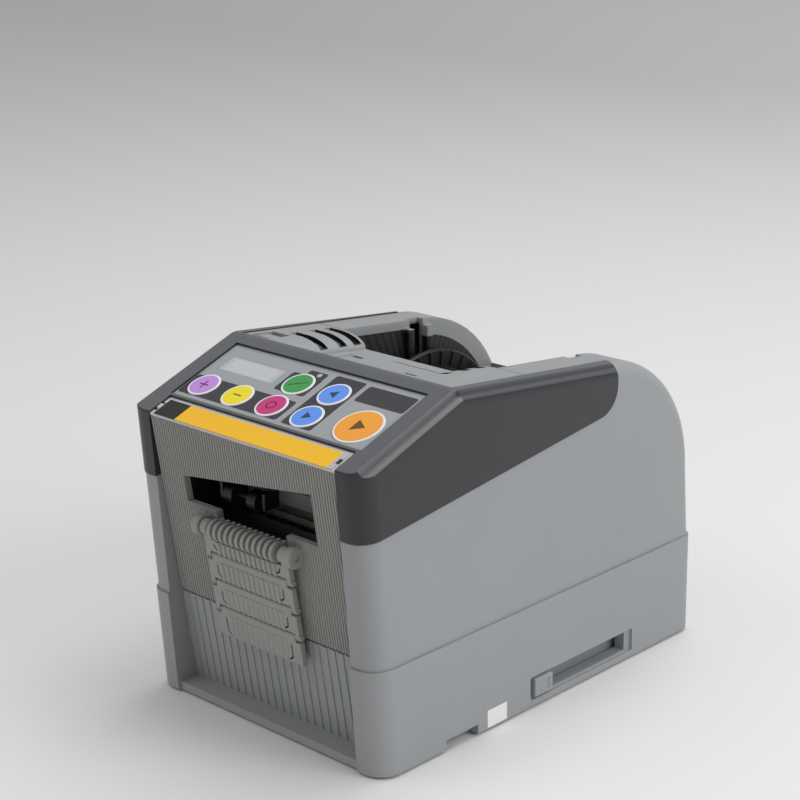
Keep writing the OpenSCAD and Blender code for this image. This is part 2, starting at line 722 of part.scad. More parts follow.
module front_plate() color(plate_grey) {
    difference() {
        union() {
            intersection() {
                on_plate() translate([0, 0, -case_h])
                    linear_extrude(case_h + over) polygon(rib_outline(cheek_x - fit, fine_pitch, plate_t));
                on_panel() box([-case_w, case_w], [-over, 2 * over], [-case_h, overlay_top]);
                box([-case_w, case_w], [y_tip - over, y_tip + over], [seam_h + plate_foot, case_h]);
            }
            intersection() {
                on_panel()
                    box([-1, 1] * (cheek_x - fit), [-over, flange_v], [overlay_top - flange_t, overlay_top]);
                on_plate() box([-case_w, case_w], [0, over], [-over, over]);
            }
        }
        translate([0, y_tip, 0]) rotate([90, 0, 0]) linear_extrude(2 * over, center = true)
            polygon([[-outlet_half, outlet_low], [-outlet_half, outlet_tops[0]], [outlet_half, outlet_tops[1]],
                [outlet_half, outlet_low], [notch_half, outlet_low], [notch_half, notch_z],
                [-notch_half, notch_z], [-notch_half, outlet_low]]);
    }
    for (i = [0:comb_fins - 1])
        translate([(i - (comb_fins - 1) / 2) * comb_pitch, 0, 0]) guard_lug(fin_w);
    both_sides() difference() {
        translate([ear_x, 0, 0]) guard_lug(ear_w);
        on_hinge(1) rod(hinge_pin_r + run, case_w);
    }
}
// A round lug about the guard hinge, with a neck into the front plate
module guard_lug(w) on_hinge(1) across(w) {
    circle(guard_r);
    translate([0, -guard_r]) square([hinge_off + lug_root, 2 * guard_r - lug_drop]);
}
module keypad_overlay() color(overlay_grey) difference() {
    on_panel() box([-overlay_half, overlay_half], [overlay_v0, overlay_v1], [overlay_low, overlay_top]);
    key_holes(-over);
    panel_cut(window_u, window_v, -over);
}
module display_window() color([0.82, 0.83, 0.82]) on_panel()
    box(window_u + [fit, -fit], window_v + [fit, -fit], [overlay_low, overlay_top]);
module status_lamp() color([0.75, 0.76, 0.74]) on_panel() translate([lamp_uv[0], lamp_uv[1], board_top]) {
    cylinder(r = lamp_r, h = overlay_top - board_top);
    cylinder(r = lamp_r + 0.4, h = 1);
}
module display_board() color(board_green) on_panel() {
    box([-1, 1] * (overlay_half - board_in), [overlay_v0 + board_in, overlay_v1 - board_in],
        [board_top - board_t, board_top]);
    for (uv = concat(small_keys, [start_uv]))
        translate([uv[0] - tact_w / 2, uv[1] - tact_w / 2, board_top]) cube([tact_w, tact_w, switch_h]);
    box([window_u[0] + window_ledge + slip, window_u[1] - window_ledge - slip],
        [window_v[0] + window_ledge + slip, window_v[1] - window_ledge - slip],
        [board_top, overlay_low - slip]);
}
module label_strip() color([0.98, 0.75, 0.10]) on_panel()
    box([-label_u, label_u], label_v, [overlay_top, overlay_top + label_t]);

// Outlet
module outlet_throat() color(black_plastic) difference() {
    intersection() {
        box([-throat_half - throat_t, throat_half + throat_t], [y_tip - over, throat_y1],
            [throat_lo - throat_t, throat_hi + throat_t]);
        on_plate() box([-case_w, case_w], [plate_t, case_h], [-case_h, over]);
    }
    box([-throat_half, throat_half], [y_tip - over, throat_y1 + over], [throat_lo, throat_hi]);
}
module blade_guard() color(steel) difference() {
    union() {
        box([-throat_half, throat_half], [finger_y, finger_y + finger_t],
            [exit_yz[1] - exit_shaft_r / 2, throat_hi]);
        for (x = [lug_x[0] - lug_t, lug_x[1]])
            box([x, x + lug_t], [exit_yz[0] - lug_half, finger_y],
                [exit_yz[1] - lug_half, exit_yz[1] + exit_r]);
    }
    translate([0, exit_yz[0], exit_yz[1]]) rod(exit_shaft_r + run, case_w);
}
module exit_wheels() color(black_plastic) translate([0, exit_yz[0], exit_yz[1]]) {
    translate([(lug_x[0] + lug_x[1]) / 2, 0, 0]) rod(exit_shaft_r, lug_x[1] - lug_x[0] + 2 * lug_t);
    for (x = exit_x) translate([x, 0, 0]) rod(exit_r, exit_w);
}

// Mechanism frames
module frame_sheet() {
    box([frame_x, frame_x + frame_t], [frame_y0, frame_y1], [ballast_z, frame_top]);
    box([frame_x - foot_w, frame_x + frame_t], [frame_y0 + frame_foot_in, frame_y1 - frame_foot_in],
        [ballast_z, ballast_z + frame_t]);
}
module frame_cuts() {
    translate([0, feed_y, feed_z]) rod(bush_r + run, case_w);
    translate([0, feed_y, press_z]) rod(press_shaft_r + run, case_w);
    box([frame_x - 1, frame_x + frame_t + 1],
        [cutter_y + blade_t - run, cutter_y + blade_t + carrier_t + run],
        [carrier_top - carrier_h + 1, carrier_top + cut_stroke]);
    frame_screw_places() cylinder(r = screw_r + run, h = over, center = true);
}
module frame_screw_places() for (y = frame_screw_y)
    translate([frame_x - foot_w / 2, y, ballast_z]) children();
module frame_left() color(steel) difference() {
    union() {
        mirror([1, 0, 0]) frame_sheet();
        translate([0, idler_yz[0], idler_yz[1]]) {
            stub(stub_r, [side_x - gear_w / 2, -frame_x]);
            stub(stub_r + collar_r, [side_x + gear_w / 2 + slip, -frame_x]);
        }
    }
    mirror([1, 0, 0]) frame_cuts();
    translate([0, pinion_yz[0], pinion_yz[1]]) rod(motor_shaft_r + 2, case_w);
}
module frame_right() color(steel) difference() {
    frame_sheet();
    frame_cuts();
}
module centre_bracket() color(steel) difference() {
    union() {
        box([bracket_x - bracket_t, bracket_x], [bracket_y0, bracket_y0 + bracket_len],
            [ballast_z, cutter_gear_yz[1] + cutter_n / 2 + 2]);
        box([bracket_x - foot_w, bracket_x], [bracket_y0, bracket_y0 + bracket_len],
            [ballast_z, ballast_z + bracket_t]);
        translate([0, cutter_gear_yz[0], cutter_gear_yz[1]]) {
            stub(stub_r, [bracket_x - bracket_t, rack_x + gear_w / 2]);
            stub(stub_r + collar_r, [bracket_x - bracket_t, rack_x - gear_w / 2 - slip]);
        }
    }
    bracket_screw_places() cylinder(r = screw_r + run, h = over, center = true);
}
module bracket_screw_places()
    for (y = [bracket_y0 + bracket_screw_in, bracket_y0 + bracket_len - bracket_screw_in])
    translate([bracket_x - foot_w / 2 - 1, y, ballast_z]) children();
module frame_tie_bars() color(steel) {
    box([-frame_x, frame_x], [0, tie_w] + [1, 1] * (fixed_y + fixed_t), [0, tie_w] + [1, 1] * fixed_tie_z);
    for (z = tie_z) box([-frame_x, frame_x], [tie_y, tie_y + tie_w], [z, z + tie_w]);
}
module tape_sensor() color(black_plastic)
    box([-sensor_half, sensor_half], [tie_y - 2, tie_y + tie_w + 1], [tie_z[0] - sensor_h, tie_z[0]]);
module fixed_blade() color(steel)
    box([-frame_x, frame_x], [fixed_y, fixed_y + fixed_t], [fixed_low, fixed_low + fixed_h]);
module ballast_plate() color([0.45, 0.45, 0.46]) difference() {
    box([-ballast_x, ballast_x], [ballast_y0, bay_y0 + 2], [floor_z, ballast_z]);
    both_sides() frame_screw_places() cylinder(r = screw_r + run, h = over, center = true);
    bracket_screw_places() cylinder(r = screw_r + run, h = over, center = true);
}
module pan_screw() {
    cylinder(r = head_r, h = head_t);
    translate([0, 0, -ballast_t]) cylinder(r = screw_r, h = ballast_t + head_t);
}
module frame_screws() color(steel) {
    both_sides() frame_screw_places() translate([0, 0, frame_t]) pan_screw();
    bracket_screw_places() translate([0, 0, bracket_t]) pan_screw();
}

// Feed drive
module feed_motor() color(black_plastic) translate([0, pinion_yz[0], pinion_yz[1]]) difference() {
    translate([-frame_x + feed_motor_len / 2, 0, 0]) rod(motor_r, feed_motor_len);
    translate([-frame_x, 0, 0]) rod(motor_shaft_r + run, 2 * motor_r);
}
module gear(n, rot, bore) difference() {
    across(gear_w) rotate(rot) polygon(gear_outline(n));
    rod(bore, 2 * gear_w);
}
module motor_pinion() color(gear_white) translate([0, pinion_yz[0], pinion_yz[1]]) {
    translate([side_x, 0, 0]) across(gear_w) rotate(pinion_rot) polygon(gear_outline(pinion_n));
    shaft_len = -side_x - frame_x + motor_r - 1;
    translate([side_x + shaft_len / 2, 0, 0]) rod(motor_shaft_r, shaft_len);
}
module idler_gear() color(gear_white) translate([side_x, idler_yz[0], idler_yz[1]])
    gear(idler_n, idler_rot, stub_r + run);
module feed_gear() color(gear_white) translate([side_x, feed_y, feed_z]) gear(feed_n, 0, shaft_r + shaft_fit);
module feed_shaft() color(steel)
    translate([(feed_shaft_x[0] + feed_shaft_x[1]) / 2, feed_y, feed_z])
        rod(shaft_r, feed_shaft_x[1] - feed_shaft_x[0]);
module feed_roller() color(black_plastic) translate([0, feed_y, feed_z]) difference() {
    rod(feed_r, 2 * guide_half);
    rod(shaft_r + shaft_fit, 3 * guide_half);
}
module feed_bushes() color([0.70, 0.55, 0.25]) translate([0, feed_y, feed_z]) difference() {
    both_sides() {
        translate([frame_x + frame_t / 2, 0, 0]) rod(bush_r, frame_t);
        translate([frame_x - bush_rim_t / 2, 0, 0]) rod(bush_r + bush_rim, bush_rim_t);
    }
    rod(shaft_r + run, case_w);
}
module press_wheels() color([0.85, 0.82, 0.74]) translate([0, feed_y, press_z])
    for (x = press_x) translate([x, 0, 0]) difference() {
        rod(press_r, press_w);
        rod(press_shaft_r + shaft_fit, 2 * press_w);
    }
module press_shaft() color(steel) translate([0, feed_y, press_z])
    rod(press_shaft_r, 2 * (frame_x + frame_t + 1));
module guide_roller() color([0.85, 0.82, 0.74]) translate([0, guide_yz[0], guide_yz[1]]) {
    rod(guide_r, 2 * guide_half);
    rod(guide_pin_r, 2 * tub_x);
}

// Cutter
module moving_blade() color(steel)
    box([-frame_x + 4, frame_x - 4], [cutter_y, cutter_y + blade_t], [blade_top - blade_h, blade_top]);
module blade_carrier() color([0.55, 0.56, 0.58]) {
    back = cutter_y + blade_t + carrier_t;
    box([-frame_x + 2, frame_x - 2], [cutter_y + blade_t, back], [carrier_top - carrier_h, carrier_top]);
    both_sides() box([frame_x - 3, frame_x + frame_t - 0.2], [cutter_y + blade_t, back],
        [carrier_top - carrier_h + 2, carrier_top - carrier_h + 2 + tongue_h]);
    box([rack_x - gear_w / 2, rack_x + gear_w / 2], [cutter_y + blade_t, rack_root],
        [rack_low, carrier_top - 1]);
    translate([rack_x, 0, 0])
        for (i = [-ceil((cut_stroke + rack_spare) / PI):ceil(rack_spare / PI)])
            across(gear_w) polygon(rack_tooth(cutter_gear_yz[1] + (i - 0.5) * PI));
}
module cutter_gear() color(gear_white) translate([rack_x, cutter_gear_yz[0], cutter_gear_yz[1]])
    gear(cutter_n, 0, stub_r + run);
module cutter_pinion() color(gear_white) translate([rack_x, cutter_pinion_yz[0], cutter_pinion_yz[1]]) {
    across(gear_w) rotate(cutter_pinion_rot) polygon(gear_outline(pinion_n));
    translate([motor_r / 2, 0, 0]) rod(motor_shaft_r, motor_r);
}
module cutter_motor() color(black_plastic) translate([0, cutter_pinion_yz[0], cutter_pinion_yz[1]])
    difference() {
        translate([(cutter_motor_x + frame_x) / 2, 0, 0]) rod(motor_r, frame_x - cutter_motor_x);
        translate([cutter_motor_x, 0, 0]) rod(motor_shaft_r + run, 2 * motor_r);
    }

// Reel
module reel_axle() color(steel) translate([0, arc_y, arc_z]) rod(axle_r, 2 * axle_half);
module reel_drum() color(black_plastic) translate([drum_x0, arc_y, arc_z]) rotate([0, 90, 0]) difference() {
    cylinder(r = drum_r, h = drum_len);
    translate([0, 0, drum_wall]) difference() {
        cylinder(r = drum_r - drum_wall, h = drum_len);
        cylinder(r = hub_r, h = drum_len);
    }
    cylinder(r = axle_r + run, h = 3 * drum_len, center = true);
}
module reel_flange() color(black_plastic)
    translate([drum_x0 - flange_t_reel, arc_y, arc_z]) rotate([0, 90, 0]) {
        difference() {
            cylinder(r = flange_r, h = flange_t_reel);
            cylinder(r = axle_r + run, h = over, center = true);
        }
        for (i = [0:flange_ribs - 1]) rotate(360 * i / flange_ribs)
            translate([drum_r + 1, -flange_rib_w / 2, flange_t_reel / 2])
                cube([flange_r - drum_r - 2, flange_rib_w, flange_t_reel / 2 + flange_rib_h]);
    }

// Keys
module key_cap(uv, r, paint) color(paint) on_panel() translate([uv[0], uv[1], cap_low]) {
    cylinder(r = r, h = overlay_top + cap_rise - cap_low);
    cylinder(r = r + cap_lip, h = cap_lip_t);
}
module button_plus() key_cap(plus_uv, key_r, [0.78, 0.55, 0.88]);
module button_minus() key_cap(minus_uv, key_r, [0.98, 0.88, 0.15]);
module button_select() key_cap(select_uv, key_r, [0.80, 0.22, 0.50]);
module button_mode() key_cap(mode_uv, key_r, [0.25, 0.62, 0.32]);
module button_reverse() key_cap(reverse_uv, key_r, [0.40, 0.60, 0.95]);
module button_forward() key_cap(forward_uv, key_r, [0.40, 0.60, 0.95]);
module button_start() key_cap(start_uv, start_r, [0.98, 0.65, 0.22]);

// Guard links: a plate with side ears below, a round knuckle and pins above
module j_slit(top, low) both_sides() translate([slit_x, 0, low + slit_r]) {
    box([-slit_w / 2, slit_w / 2], [-over, over], [0, top - low - slit_r]);
    translate([-slit_r, 0, 0]) rotate([90, 0, 0]) intersection() {
        difference() {
            cylinder(r = slit_r + slit_w / 2, h = 2 * over, center = true);
            cylinder(r = slit_r - slit_w / 2, h = 3 * over, center = true);
        }
        translate([0, -over, -over]) cube([over, over, 2 * over]);
    }
}
module link_plate(top, low) translate([0, -link_t / 2, 0]) mirror([0, 0, 1]) translate([0, 0, -top])
    linear_extrude(top - low) polygon(rib_outline(link_half, 2 * fine_pitch, link_t));
module lower_ears() both_sides() difference() {
    union() {
        box([link_half - link_ear, link_half], [-knuckle_r, knuckle_r], [0, link_t] - [1, 1] * link_pitch);
        translate([link_half - link_ear / 2, 0, -link_pitch]) rod(knuckle_r, link_ear);
    }
    translate([0, 0, -link_pitch]) rod(link_pin_r + run, case_w);
}
module guard_link_1() color(plate_grey) on_hinge(1) {
    difference() {
        link_plate(-guard_r - lug_root, -link_pitch + link_gap);
        j_slit(-guard_r - slit_in, -link_pitch + link_gap + slit_in);
    }
    lower_ears();
    both_sides() {
        box([link_half - hanger_w, link_half], [-knuckle_r, knuckle_r], [-guard_r - slit_in, 0]);
        translate([link_half - hanger_w / 2, 0, 0]) rod(guard_r - 1, hanger_w);
        translate([link_half + ear_w / 2, 0, 0]) rod(hinge_pin_r, ear_w);
    }
}
module guard_link(k, last) color(plate_grey) on_hinge(k) {
    inner = link_half - link_ear - slip;
    difference() {
        link_plate(-link_gap, last ? -link_pitch : -link_pitch + link_gap);
        j_slit(-link_gap - slit_in, -link_pitch + link_gap + slit_in);
    }
    rod(knuckle_r, 2 * inner);
    box([-inner, inner], [-knuckle_r, knuckle_r], [-link_gap - lug_root, 0]);
    both_sides() translate([inner + (link_ear + slip) / 2, 0, 0]) rod(link_pin_r, link_ear + slip);
    if (!last) lower_ears();
}
module guard_link_2() guard_link(2, false);
module guard_link_3() guard_link(3, false);
module guard_link_4() guard_link(4, true);

// Side slider
module side_slider() color(case_grey) {
    box([track_x + fit, case_w / 2 - fit], [slot_y0 + fit, slot_y0 + fit + knob_len],
        [slot_z0 + fit, slot_z0 + slot_h - fit]);
    box([track_x + fit, track_x + fit + slider_t], [slot_y0 - slider_edge, slot_y0 + knob_len + slider_edge],
        [slot_z0 - 1, slot_z0 + slot_h + slider_edge]);
}
module slider_track() color(black_plastic)
    box([track_x - track_t, track_x], [slot_y0 - slot_ends[0], slot_y0 + slot_len + slot_ends[0]],
        [floor_z, slot_z0 + slot_h + 2 * slider_edge]);

// Lower shell fittings
module rubber_feet() color(black_plastic) foot_places() cylinder(r = foot_r, h = ground_gap + foot_deep);
module case_screws() color(steel) screw_places() {
    translate([0, 0, ground_gap + head_sink]) cylinder(r = head_r, h = head_t);
    translate([0, 0, ground_gap + head_sink])
        cylinder(r = screw_r, h = seam_h + screw_reach - ground_gap - 1);
}
module power_jack() color(black_plastic) translate([jack_x, y_rear, mains_z]) difference() {
    union() {
        box([-jack_body / 2, jack_body / 2], [-wall - jack_body, -wall], [-jack_body / 2, jack_body / 2]);
        translate([0, -0.3, 0]) rotate([90, 0, 0]) cylinder(r = jack_r, h = wall + 1);
    }
    rotate([90, 0, 0]) difference() {
        cylinder(r = jack_r - 1.3, h = jack_body);
        cylinder(r = 0.9, h = 2 * jack_body);
    }
}
module power_switch_body() color(black_plastic) translate([switch_x, y_rear, mains_z]) difference() {
    box([-switch_w / 2, switch_w / 2], [-switch_w - 3, -0.2], [-switch_w / 2, switch_w / 2]);
    translate([0, -rocker_set, 0]) rod(rocker_r + slip, rocker_w + 2 * slip);
    translate([0, -rocker_set, 0]) rod(link_pin_r + run, switch_w - 1);
}
module rocker_switch() color([0.55, 0.10, 0.10]) translate([switch_x, y_rear - rocker_set, mains_z]) {
    rotate([-rocker_tilt, 0, 0]) across(rocker_w)
        polygon([[rocker_face[0], rocker_half], [rocker_face[1], 0], [rocker_face[0], -rocker_half],
            [0, -rocker_half], [-rocker_back, 0], [0, rocker_half]]);
    rod(link_pin_r, switch_w - 1.4);
}
module main_board() color(board_green) {
    box([-board_half, board_half], board_y, [main_z - board_t, main_z]);
    translate([0, board_y[0], main_z]) {
        for (c = chips) box(c[0], c[1], [0, c[2]]);
        translate(can_place) cylinder(r = can_r, h = can_h);
    }
}

lower_case();
upper_case();
head_cover();
front_plate();
deck_plate();
tape_bay();
keypad_overlay();
display_window();
status_lamp();
display_board();
label_strip();
outlet_throat();
blade_guard();
frame_left();
frame_right();
centre_bracket();
frame_tie_bars();
fixed_blade();
feed_motor();
cutter_motor();
feed_bushes();
main_board();
power_jack();
power_switch_body();
ballast_plate();
rubber_feet();
slider_track();
tape_sensor();
case_screws();
frame_screws();
button_plus();
button_minus();
button_select();
button_mode();
button_reverse();
button_forward();
button_start();
side_slider();
rocker_switch();
guard_link_1();
guard_link_2();
guard_link_3();
guard_link_4();
reel_axle();
reel_drum();
reel_flange();
guide_roller();
feed_roller();
feed_shaft();
feed_gear();
idler_gear();
motor_pinion();
press_wheels();
press_shaft();
moving_blade();
blade_carrier();
cutter_gear();
cutter_pinion();
exit_wheels();
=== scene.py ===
"""Looks of an electric tape dispenser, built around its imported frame.

The geometry is worked out in millimetres and scaled to metres when a piece is finished.
X runs across the machine, the front faces -Y and Z is up.
"""

import json
import math
from functools import reduce
from types import SimpleNamespace

import bmesh
import bpy
from bpy.props import FloatProperty, FloatVectorProperty, IntProperty, PointerProperty
from bpy.types import Operator, Panel, PropertyGroup
from mathutils import Matrix, Vector


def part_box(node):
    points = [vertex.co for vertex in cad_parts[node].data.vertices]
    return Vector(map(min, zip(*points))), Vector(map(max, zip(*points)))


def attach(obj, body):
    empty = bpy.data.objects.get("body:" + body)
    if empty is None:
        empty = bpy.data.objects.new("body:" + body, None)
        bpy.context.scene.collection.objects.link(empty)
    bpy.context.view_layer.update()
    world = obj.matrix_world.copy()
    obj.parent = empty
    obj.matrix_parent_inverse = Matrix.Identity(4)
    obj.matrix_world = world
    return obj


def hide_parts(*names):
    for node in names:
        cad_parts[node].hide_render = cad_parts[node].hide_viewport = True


bl_info = {
    "name": "Tape dispenser looks",
    "version": (1, 0, 0),
    "blender": (4, 5, 0),
    "location": "View3D > Sidebar > Dispenser",
    "description": "Builds the visible pieces of an electric tape dispenser around its packed frame",
    "category": "Object",
}

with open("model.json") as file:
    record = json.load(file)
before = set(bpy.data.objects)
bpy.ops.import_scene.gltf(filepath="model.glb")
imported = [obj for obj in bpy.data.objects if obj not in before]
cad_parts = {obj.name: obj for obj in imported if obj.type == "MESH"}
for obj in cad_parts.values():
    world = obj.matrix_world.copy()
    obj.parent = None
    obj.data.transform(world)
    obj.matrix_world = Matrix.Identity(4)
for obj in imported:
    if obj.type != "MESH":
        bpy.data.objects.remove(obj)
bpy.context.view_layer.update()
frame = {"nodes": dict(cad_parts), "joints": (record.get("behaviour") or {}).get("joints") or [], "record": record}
NODES = frame["nodes"]
JOINTS = {joint["name"]: joint for joint in frame["joints"]}
SLOTS = {part["node"]: part["material_slot"] for part in frame["record"]["subparts"]}
KEYS = ("plus", "minus", "select", "mode", "reverse", "forward", "start")
FILM_NODES = ("keypad_overlay", "display_window", "label_strip")
SIDES = (-1, 1)

# Metres in a millimetre
MM = 0.001
# Gaps round what sits in a recess, round a pin, and beside what turns
FIT, PIN_FIT, SIDE_FIT = 0.1, 0.05, 0.3
# How far a cut runs past what it cuts, and the limits of one that goes right through
OVER = 40.0
CLEAR = (-OVER, OVER)
# Short run of a cut past a face
PAST = 1
# Points nearer than this are welded, and faces that meet at a smaller angle become one
SAME_POINT, FLAT_ANGLE = 0.002, math.radians(0.2)
# Widths of a rib, and of a link's rib or a comb fin, as shares of their pitch
RIB_SHARE, FIN_SHARE = 0.62, 0.55
# Heights of the ribs on the guard's links, from the first link down
LINK_RIB_H = (0.5, 0.3, 0.16, 0.1)
# How much smaller the radius of a key's cap is than that of its skirt
KEY_STEP = 0.35
# Height of the slider's slot above the floor of the case
SLOT_RISE = 1.2
# Middles of the deck's vents along the slope, and how far their outer ends lie from the crests
VENTS = (22.6, 34, 42.7)
RIGHT_VENT_IN, LEFT_VENT_OUT = 4.0, 6.0


def node_box(name):
    """Lowest and highest corner of a CAD node, in millimetres."""
    return tuple(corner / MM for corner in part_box(name))


def node_middle(name):
    """Middle of a CAD node's box, in millimetres."""
    low, high = node_box(name)
    return (low + high) / 2


def span(side, near, far):
    """Limits across one side of the machine, from two distances from its middle."""
    return sorted((side * near, side * far))


def linear(*srgb):
    """A colour as the eye reads it on a screen, turned into linear light."""
    return tuple(c / 12.92 if c <= 0.04045 else ((c + 0.055) / 1.055) ** 2.4 for c in srgb)


def length(name, description, mm):
    """A property for a length, given in millimetres."""
    return FloatProperty(name=name, description=description, default=mm * MM, unit="LENGTH", precision=5)


def angle(name, description, degrees):
    """A property for an angle, given in degrees."""
    return FloatProperty(name=name, description=description, default=math.radians(degrees), unit="ROTATION")


def number(name, description, default):
    """A property for a number of like features."""
    return IntProperty(name=name, description=description, default=default, min=1)


def paint(name, description, *srgb):
    """A property for a colour, given as it reads on a screen."""
    return FloatVectorProperty(
        name=name, description=description, default=linear(*srgb), size=3, min=0, max=1, subtype="COLOR"
    )


CASE_LOW, CASE_HIGH = node_box("lower_case")


class CaseSizes(PropertyGroup):
    """Sizes of the shells."""

    width: length("Width", "Width over the lower shell", CASE_HIGH.x - CASE_LOW.x)
    reach: length("Length", "Length from the front lip to the back wall", 212)
    height: length("Height", "Height of the crown behind the panel", 150)
    rear: length("Rear", "Place of the back wall along Y", CASE_HIGH.y)
    seam_h: length("Seam height", "Height of the seam between the two shells", CASE_HIGH.z)
    ground_gap: length("Ground gap", "Gap under the case", CASE_LOW.z)
    lip_lean: length("Lean", "Lean of the front pillars from foot to lip", 8.8)
    wall: length("Wall", "Wall thickness of the shells", 2.6)
    seam_step: length("Seam step", "How far the lower shell stands proud", 1)
    head_step: length("Head step", "How far the head cover stands proud of the upper shell", 0.5)
    pillar_r: length("Pillar radius", "Plan radius of the front pillars", 10)
    edge_r: length("Edge radius", "Radius of the long top edges", 7.5)
    back_r: length("Back radius", "Radius of the round back", 60)
    back_draft: length("Back draft", "Draft of the back wall", 2.5)
    top_fall: angle("Top fall", "Fall of the wall tops towards the back", 6)
    crown_r: length("Crown radius", "Radius of the bend behind the panel", 9)
    lip_r: length("Lip radius", "Radius of the front lip", 1.6)
    soft_edge: length("Soft edge", "Width of the soft edge along the seam", 1.7)
    slot_len: length("Slot length", "Length of the slider's slot", 64)
    slot_h: length("Slot height", "Height of the slider's slot", 8.4)
    slot_end: length("Track end", "How far the slider's track runs past its slot", 6)


class HeadSizes(PropertyGroup):
    """Sizes of the head cover and its panel."""

    tilt: angle("Panel slope", "Slope of the key panel", 20)
    panel_len: length("Panel length", "Length of the slope from lip to crown", 60)
    rim_h: length("Rim height", "Depth of the overlay below the rails", 1)
    overlay_t: length("Overlay", "Thickness of the keypad overlay", 0.8)
    overlay_half: length("Overlay half width", "Half width of the keypad overlay", 55.6)
    overlay_v0: length("Overlay start", "Start of the overlay above the lip", 14.4)
    overlay_v1: length("Overlay end", "End of the overlay along the slope", 53.6)
    head_z: length("Lower edge", "Height of the head's lower edge at the lip", 99.9)
    head_rise: angle("Rise", "Rise of the lower edge towards the back", 7.1)
    head_end_r: length("End radius", "Radius of the wings' rounded rear end", 12.4)
    head_len: length("Head length", "Distance of the wings' rear end from the lip", 154)
    web: length("Web", "Thickness of the panel's web", 2.2)
    label_v: length("Label seat", "End of the label seat along the slope", 12.8)
    bead: length("Bead", "Height of the ridges along the head's edges", 0.7)


class DeckSizes(PropertyGroup):
    """Sizes of the deck and the tape bay."""

    deck_run: length("Deck start", "Start of the deck behind the crown", 2)
    deck_end: length("Deck end", "End of the deck behind the crown", 46.4)
    deck_drop: length("Deck drop", "Depth of the deck's floor below the wall tops", 6)
    deck_half: length("Deck half width", "Half width of the deck's floor", 30)
    deck_t: length("Deck", "Thickness of the deck", 2.2)
    wall_top: length("Wall top", "Width of the wall tops beside the bay", 15.8)
    vent_w: length("Vent", "Width of the vents in the deck's flanks", 4.4)
    tub_r: length("Tub radius", "Radius of the tub's round back", 56.1)
    tub_end: angle("Tub end", "Angle at which the tub's back meets its rim", 15)
    flange_ribs: number("Flange ribs", "Number of ribs on the reel flange", 36)


class FrontSizes(PropertyGroup):
    """Sizes of the front plate, its outlet and its guard."""

    plate_ang: angle("Plate lean", "Lean of the front plate", 8.25)
    plate_t: length("Plate", "Thickness of the front plate", 2.5)
    plate_in: length("Setback", "Setback of the front plate from the lip", 1.2)
    cheek_x: length("Half gap", "Half width between the front pillars", 54.4)
    cheek_deep: length("Cheek depth", "Depth of the pillars' inner walls", 8.5)
    fine_pitch: length("Fine pitch", "Pitch of the fine ribs", 1.5)
    wide_pitch: length("Wide pitch", "Pitch of the wide ribs", 4.7)
    rib_h: length("Rib height", "Height of the ribs", 0.5)
    outlet_half: length("Outlet half width", "Half width of the tape outlet", 38.5)
    outlet_low: length("Outlet sill", "Height of the outlet's sill", 92.5)
    outlet_left: length("Outlet left", "Height of the outlet's top at its left end", 104)
    outlet_right: length("Outlet right", "Height of the outlet's top at its right end", 114.8)
    notch_half: length("Notch half width", "Half width of the notch for the comb", 20.5)
    notch_z: length("Notch sill", "Height of the notch's sill", 86.5)
    guard_r: length("Lug radius", "Radius of the comb fins and of the ears", 4.3)
    comb_fins: number("Fins", "Number of comb fins", 12)
    seat_t: length("Label seat", "Thickness of the pale seat under the label", 0.8)


class GuardSizes(PropertyGroup):
    """Sizes of the hinged links of the front guard."""

    link_half: length("Half width", "Half width of a link", 25)
    link_t: length("Thickness", "Thickness of a link", 2.5)
    link_pitch: length("Pitch", "Distance from hinge to hinge", 12.4)
    hinge_off: length("Hinge offset", "Distance of the first hinge from the plate", 4.4)
    hinge_pin_r: length("Hinge pin", "Radius of the first hinge's pins", 1.2)
    link_pin_r: length("Link pin", "Radius of the pins between links", 0.75)
    link_ear: length("Link ear", "Width of the ears below a link", 2.3)
    hanger_w: length("Hanger", "Width of the eyes that hang the first link", 4)
    ear_w: length("Ear", "Width of the ears that carry the guard", 4.1)
    slit_x: length("Slit place", "Distance of the slits from the middle", 19.5)
    slit_r: length("Slit radius", "Radius of the slits' hooks", 2.2)
    slit_w: length("Slit width", "Width of the slits", 0.8)
    link_ribs: number("Link ribs", "Number of ribs on a link", 12)


class Colours(PropertyGroup):
    """Colours of the finishes."""

    case: paint("Case", "Light grey of the shells", 0.60, 0.61, 0.62)
    head: paint("Head", "Dark grey of the head cover", 0.17, 0.175, 0.185)
    # Painted sheen: the paler grey painted on the head's upward faces
    head_top: paint("Head top", "Paler grey of the head cover's upper faces", 0.37, 0.375, 0.39)
    plate: paint("Front plate", "Warm grey of the front plate and the guard", 0.60, 0.597, 0.583)
    overlay: paint("Overlay", "Pale grey of the keypad overlay", 0.63, 0.645, 0.66)
    ink: paint("Ink", "Dark print on the overlay", 0.23, 0.23, 0.25)
    window: paint("Window", "Pale display window", 0.76, 0.77, 0.78)
    label: paint("Label", "Yellow of the bare label strip", 0.99, 0.76, 0.12)
    # Black is also painted on the walls of the deck's vents as painted shade
    black: paint("Black plastic", "Black of the throat, the reel and the wheels", 0.055, 0.055, 0.06)
    plus: paint("Plus key", "Violet key", 0.78, 0.57, 0.88)
    minus: paint("Minus key", "Yellow key", 0.97, 0.89, 0.14)
    select: paint("Select key", "Magenta key", 0.80, 0.22, 0.50)
    mode: paint("Mode key", "Green key", 0.24, 0.62, 0.32)
    reverse: paint("Reverse key", "Blue key", 0.40, 0.60, 0.96)
    forward: paint("Forward key", "Blue key", 0.40, 0.60, 0.96)
    start: paint("Start key", "Orange key", 0.98, 0.65, 0.22)
    floor: paint("Floor", "Pale floor and backdrop", 0.93, 0.93, 0.93)


def in_mm(group):
    """A group's lengths in millimetres, its angles in radians and its counts."""
    values = {}
    for prop in group.bl_rna.properties:
        if prop.identifier in ("rna_type", "name"):
            continue
        value = getattr(group, prop.identifier)
        values[prop.identifier] = value / MM if prop.unit == "LENGTH" else value
    return values


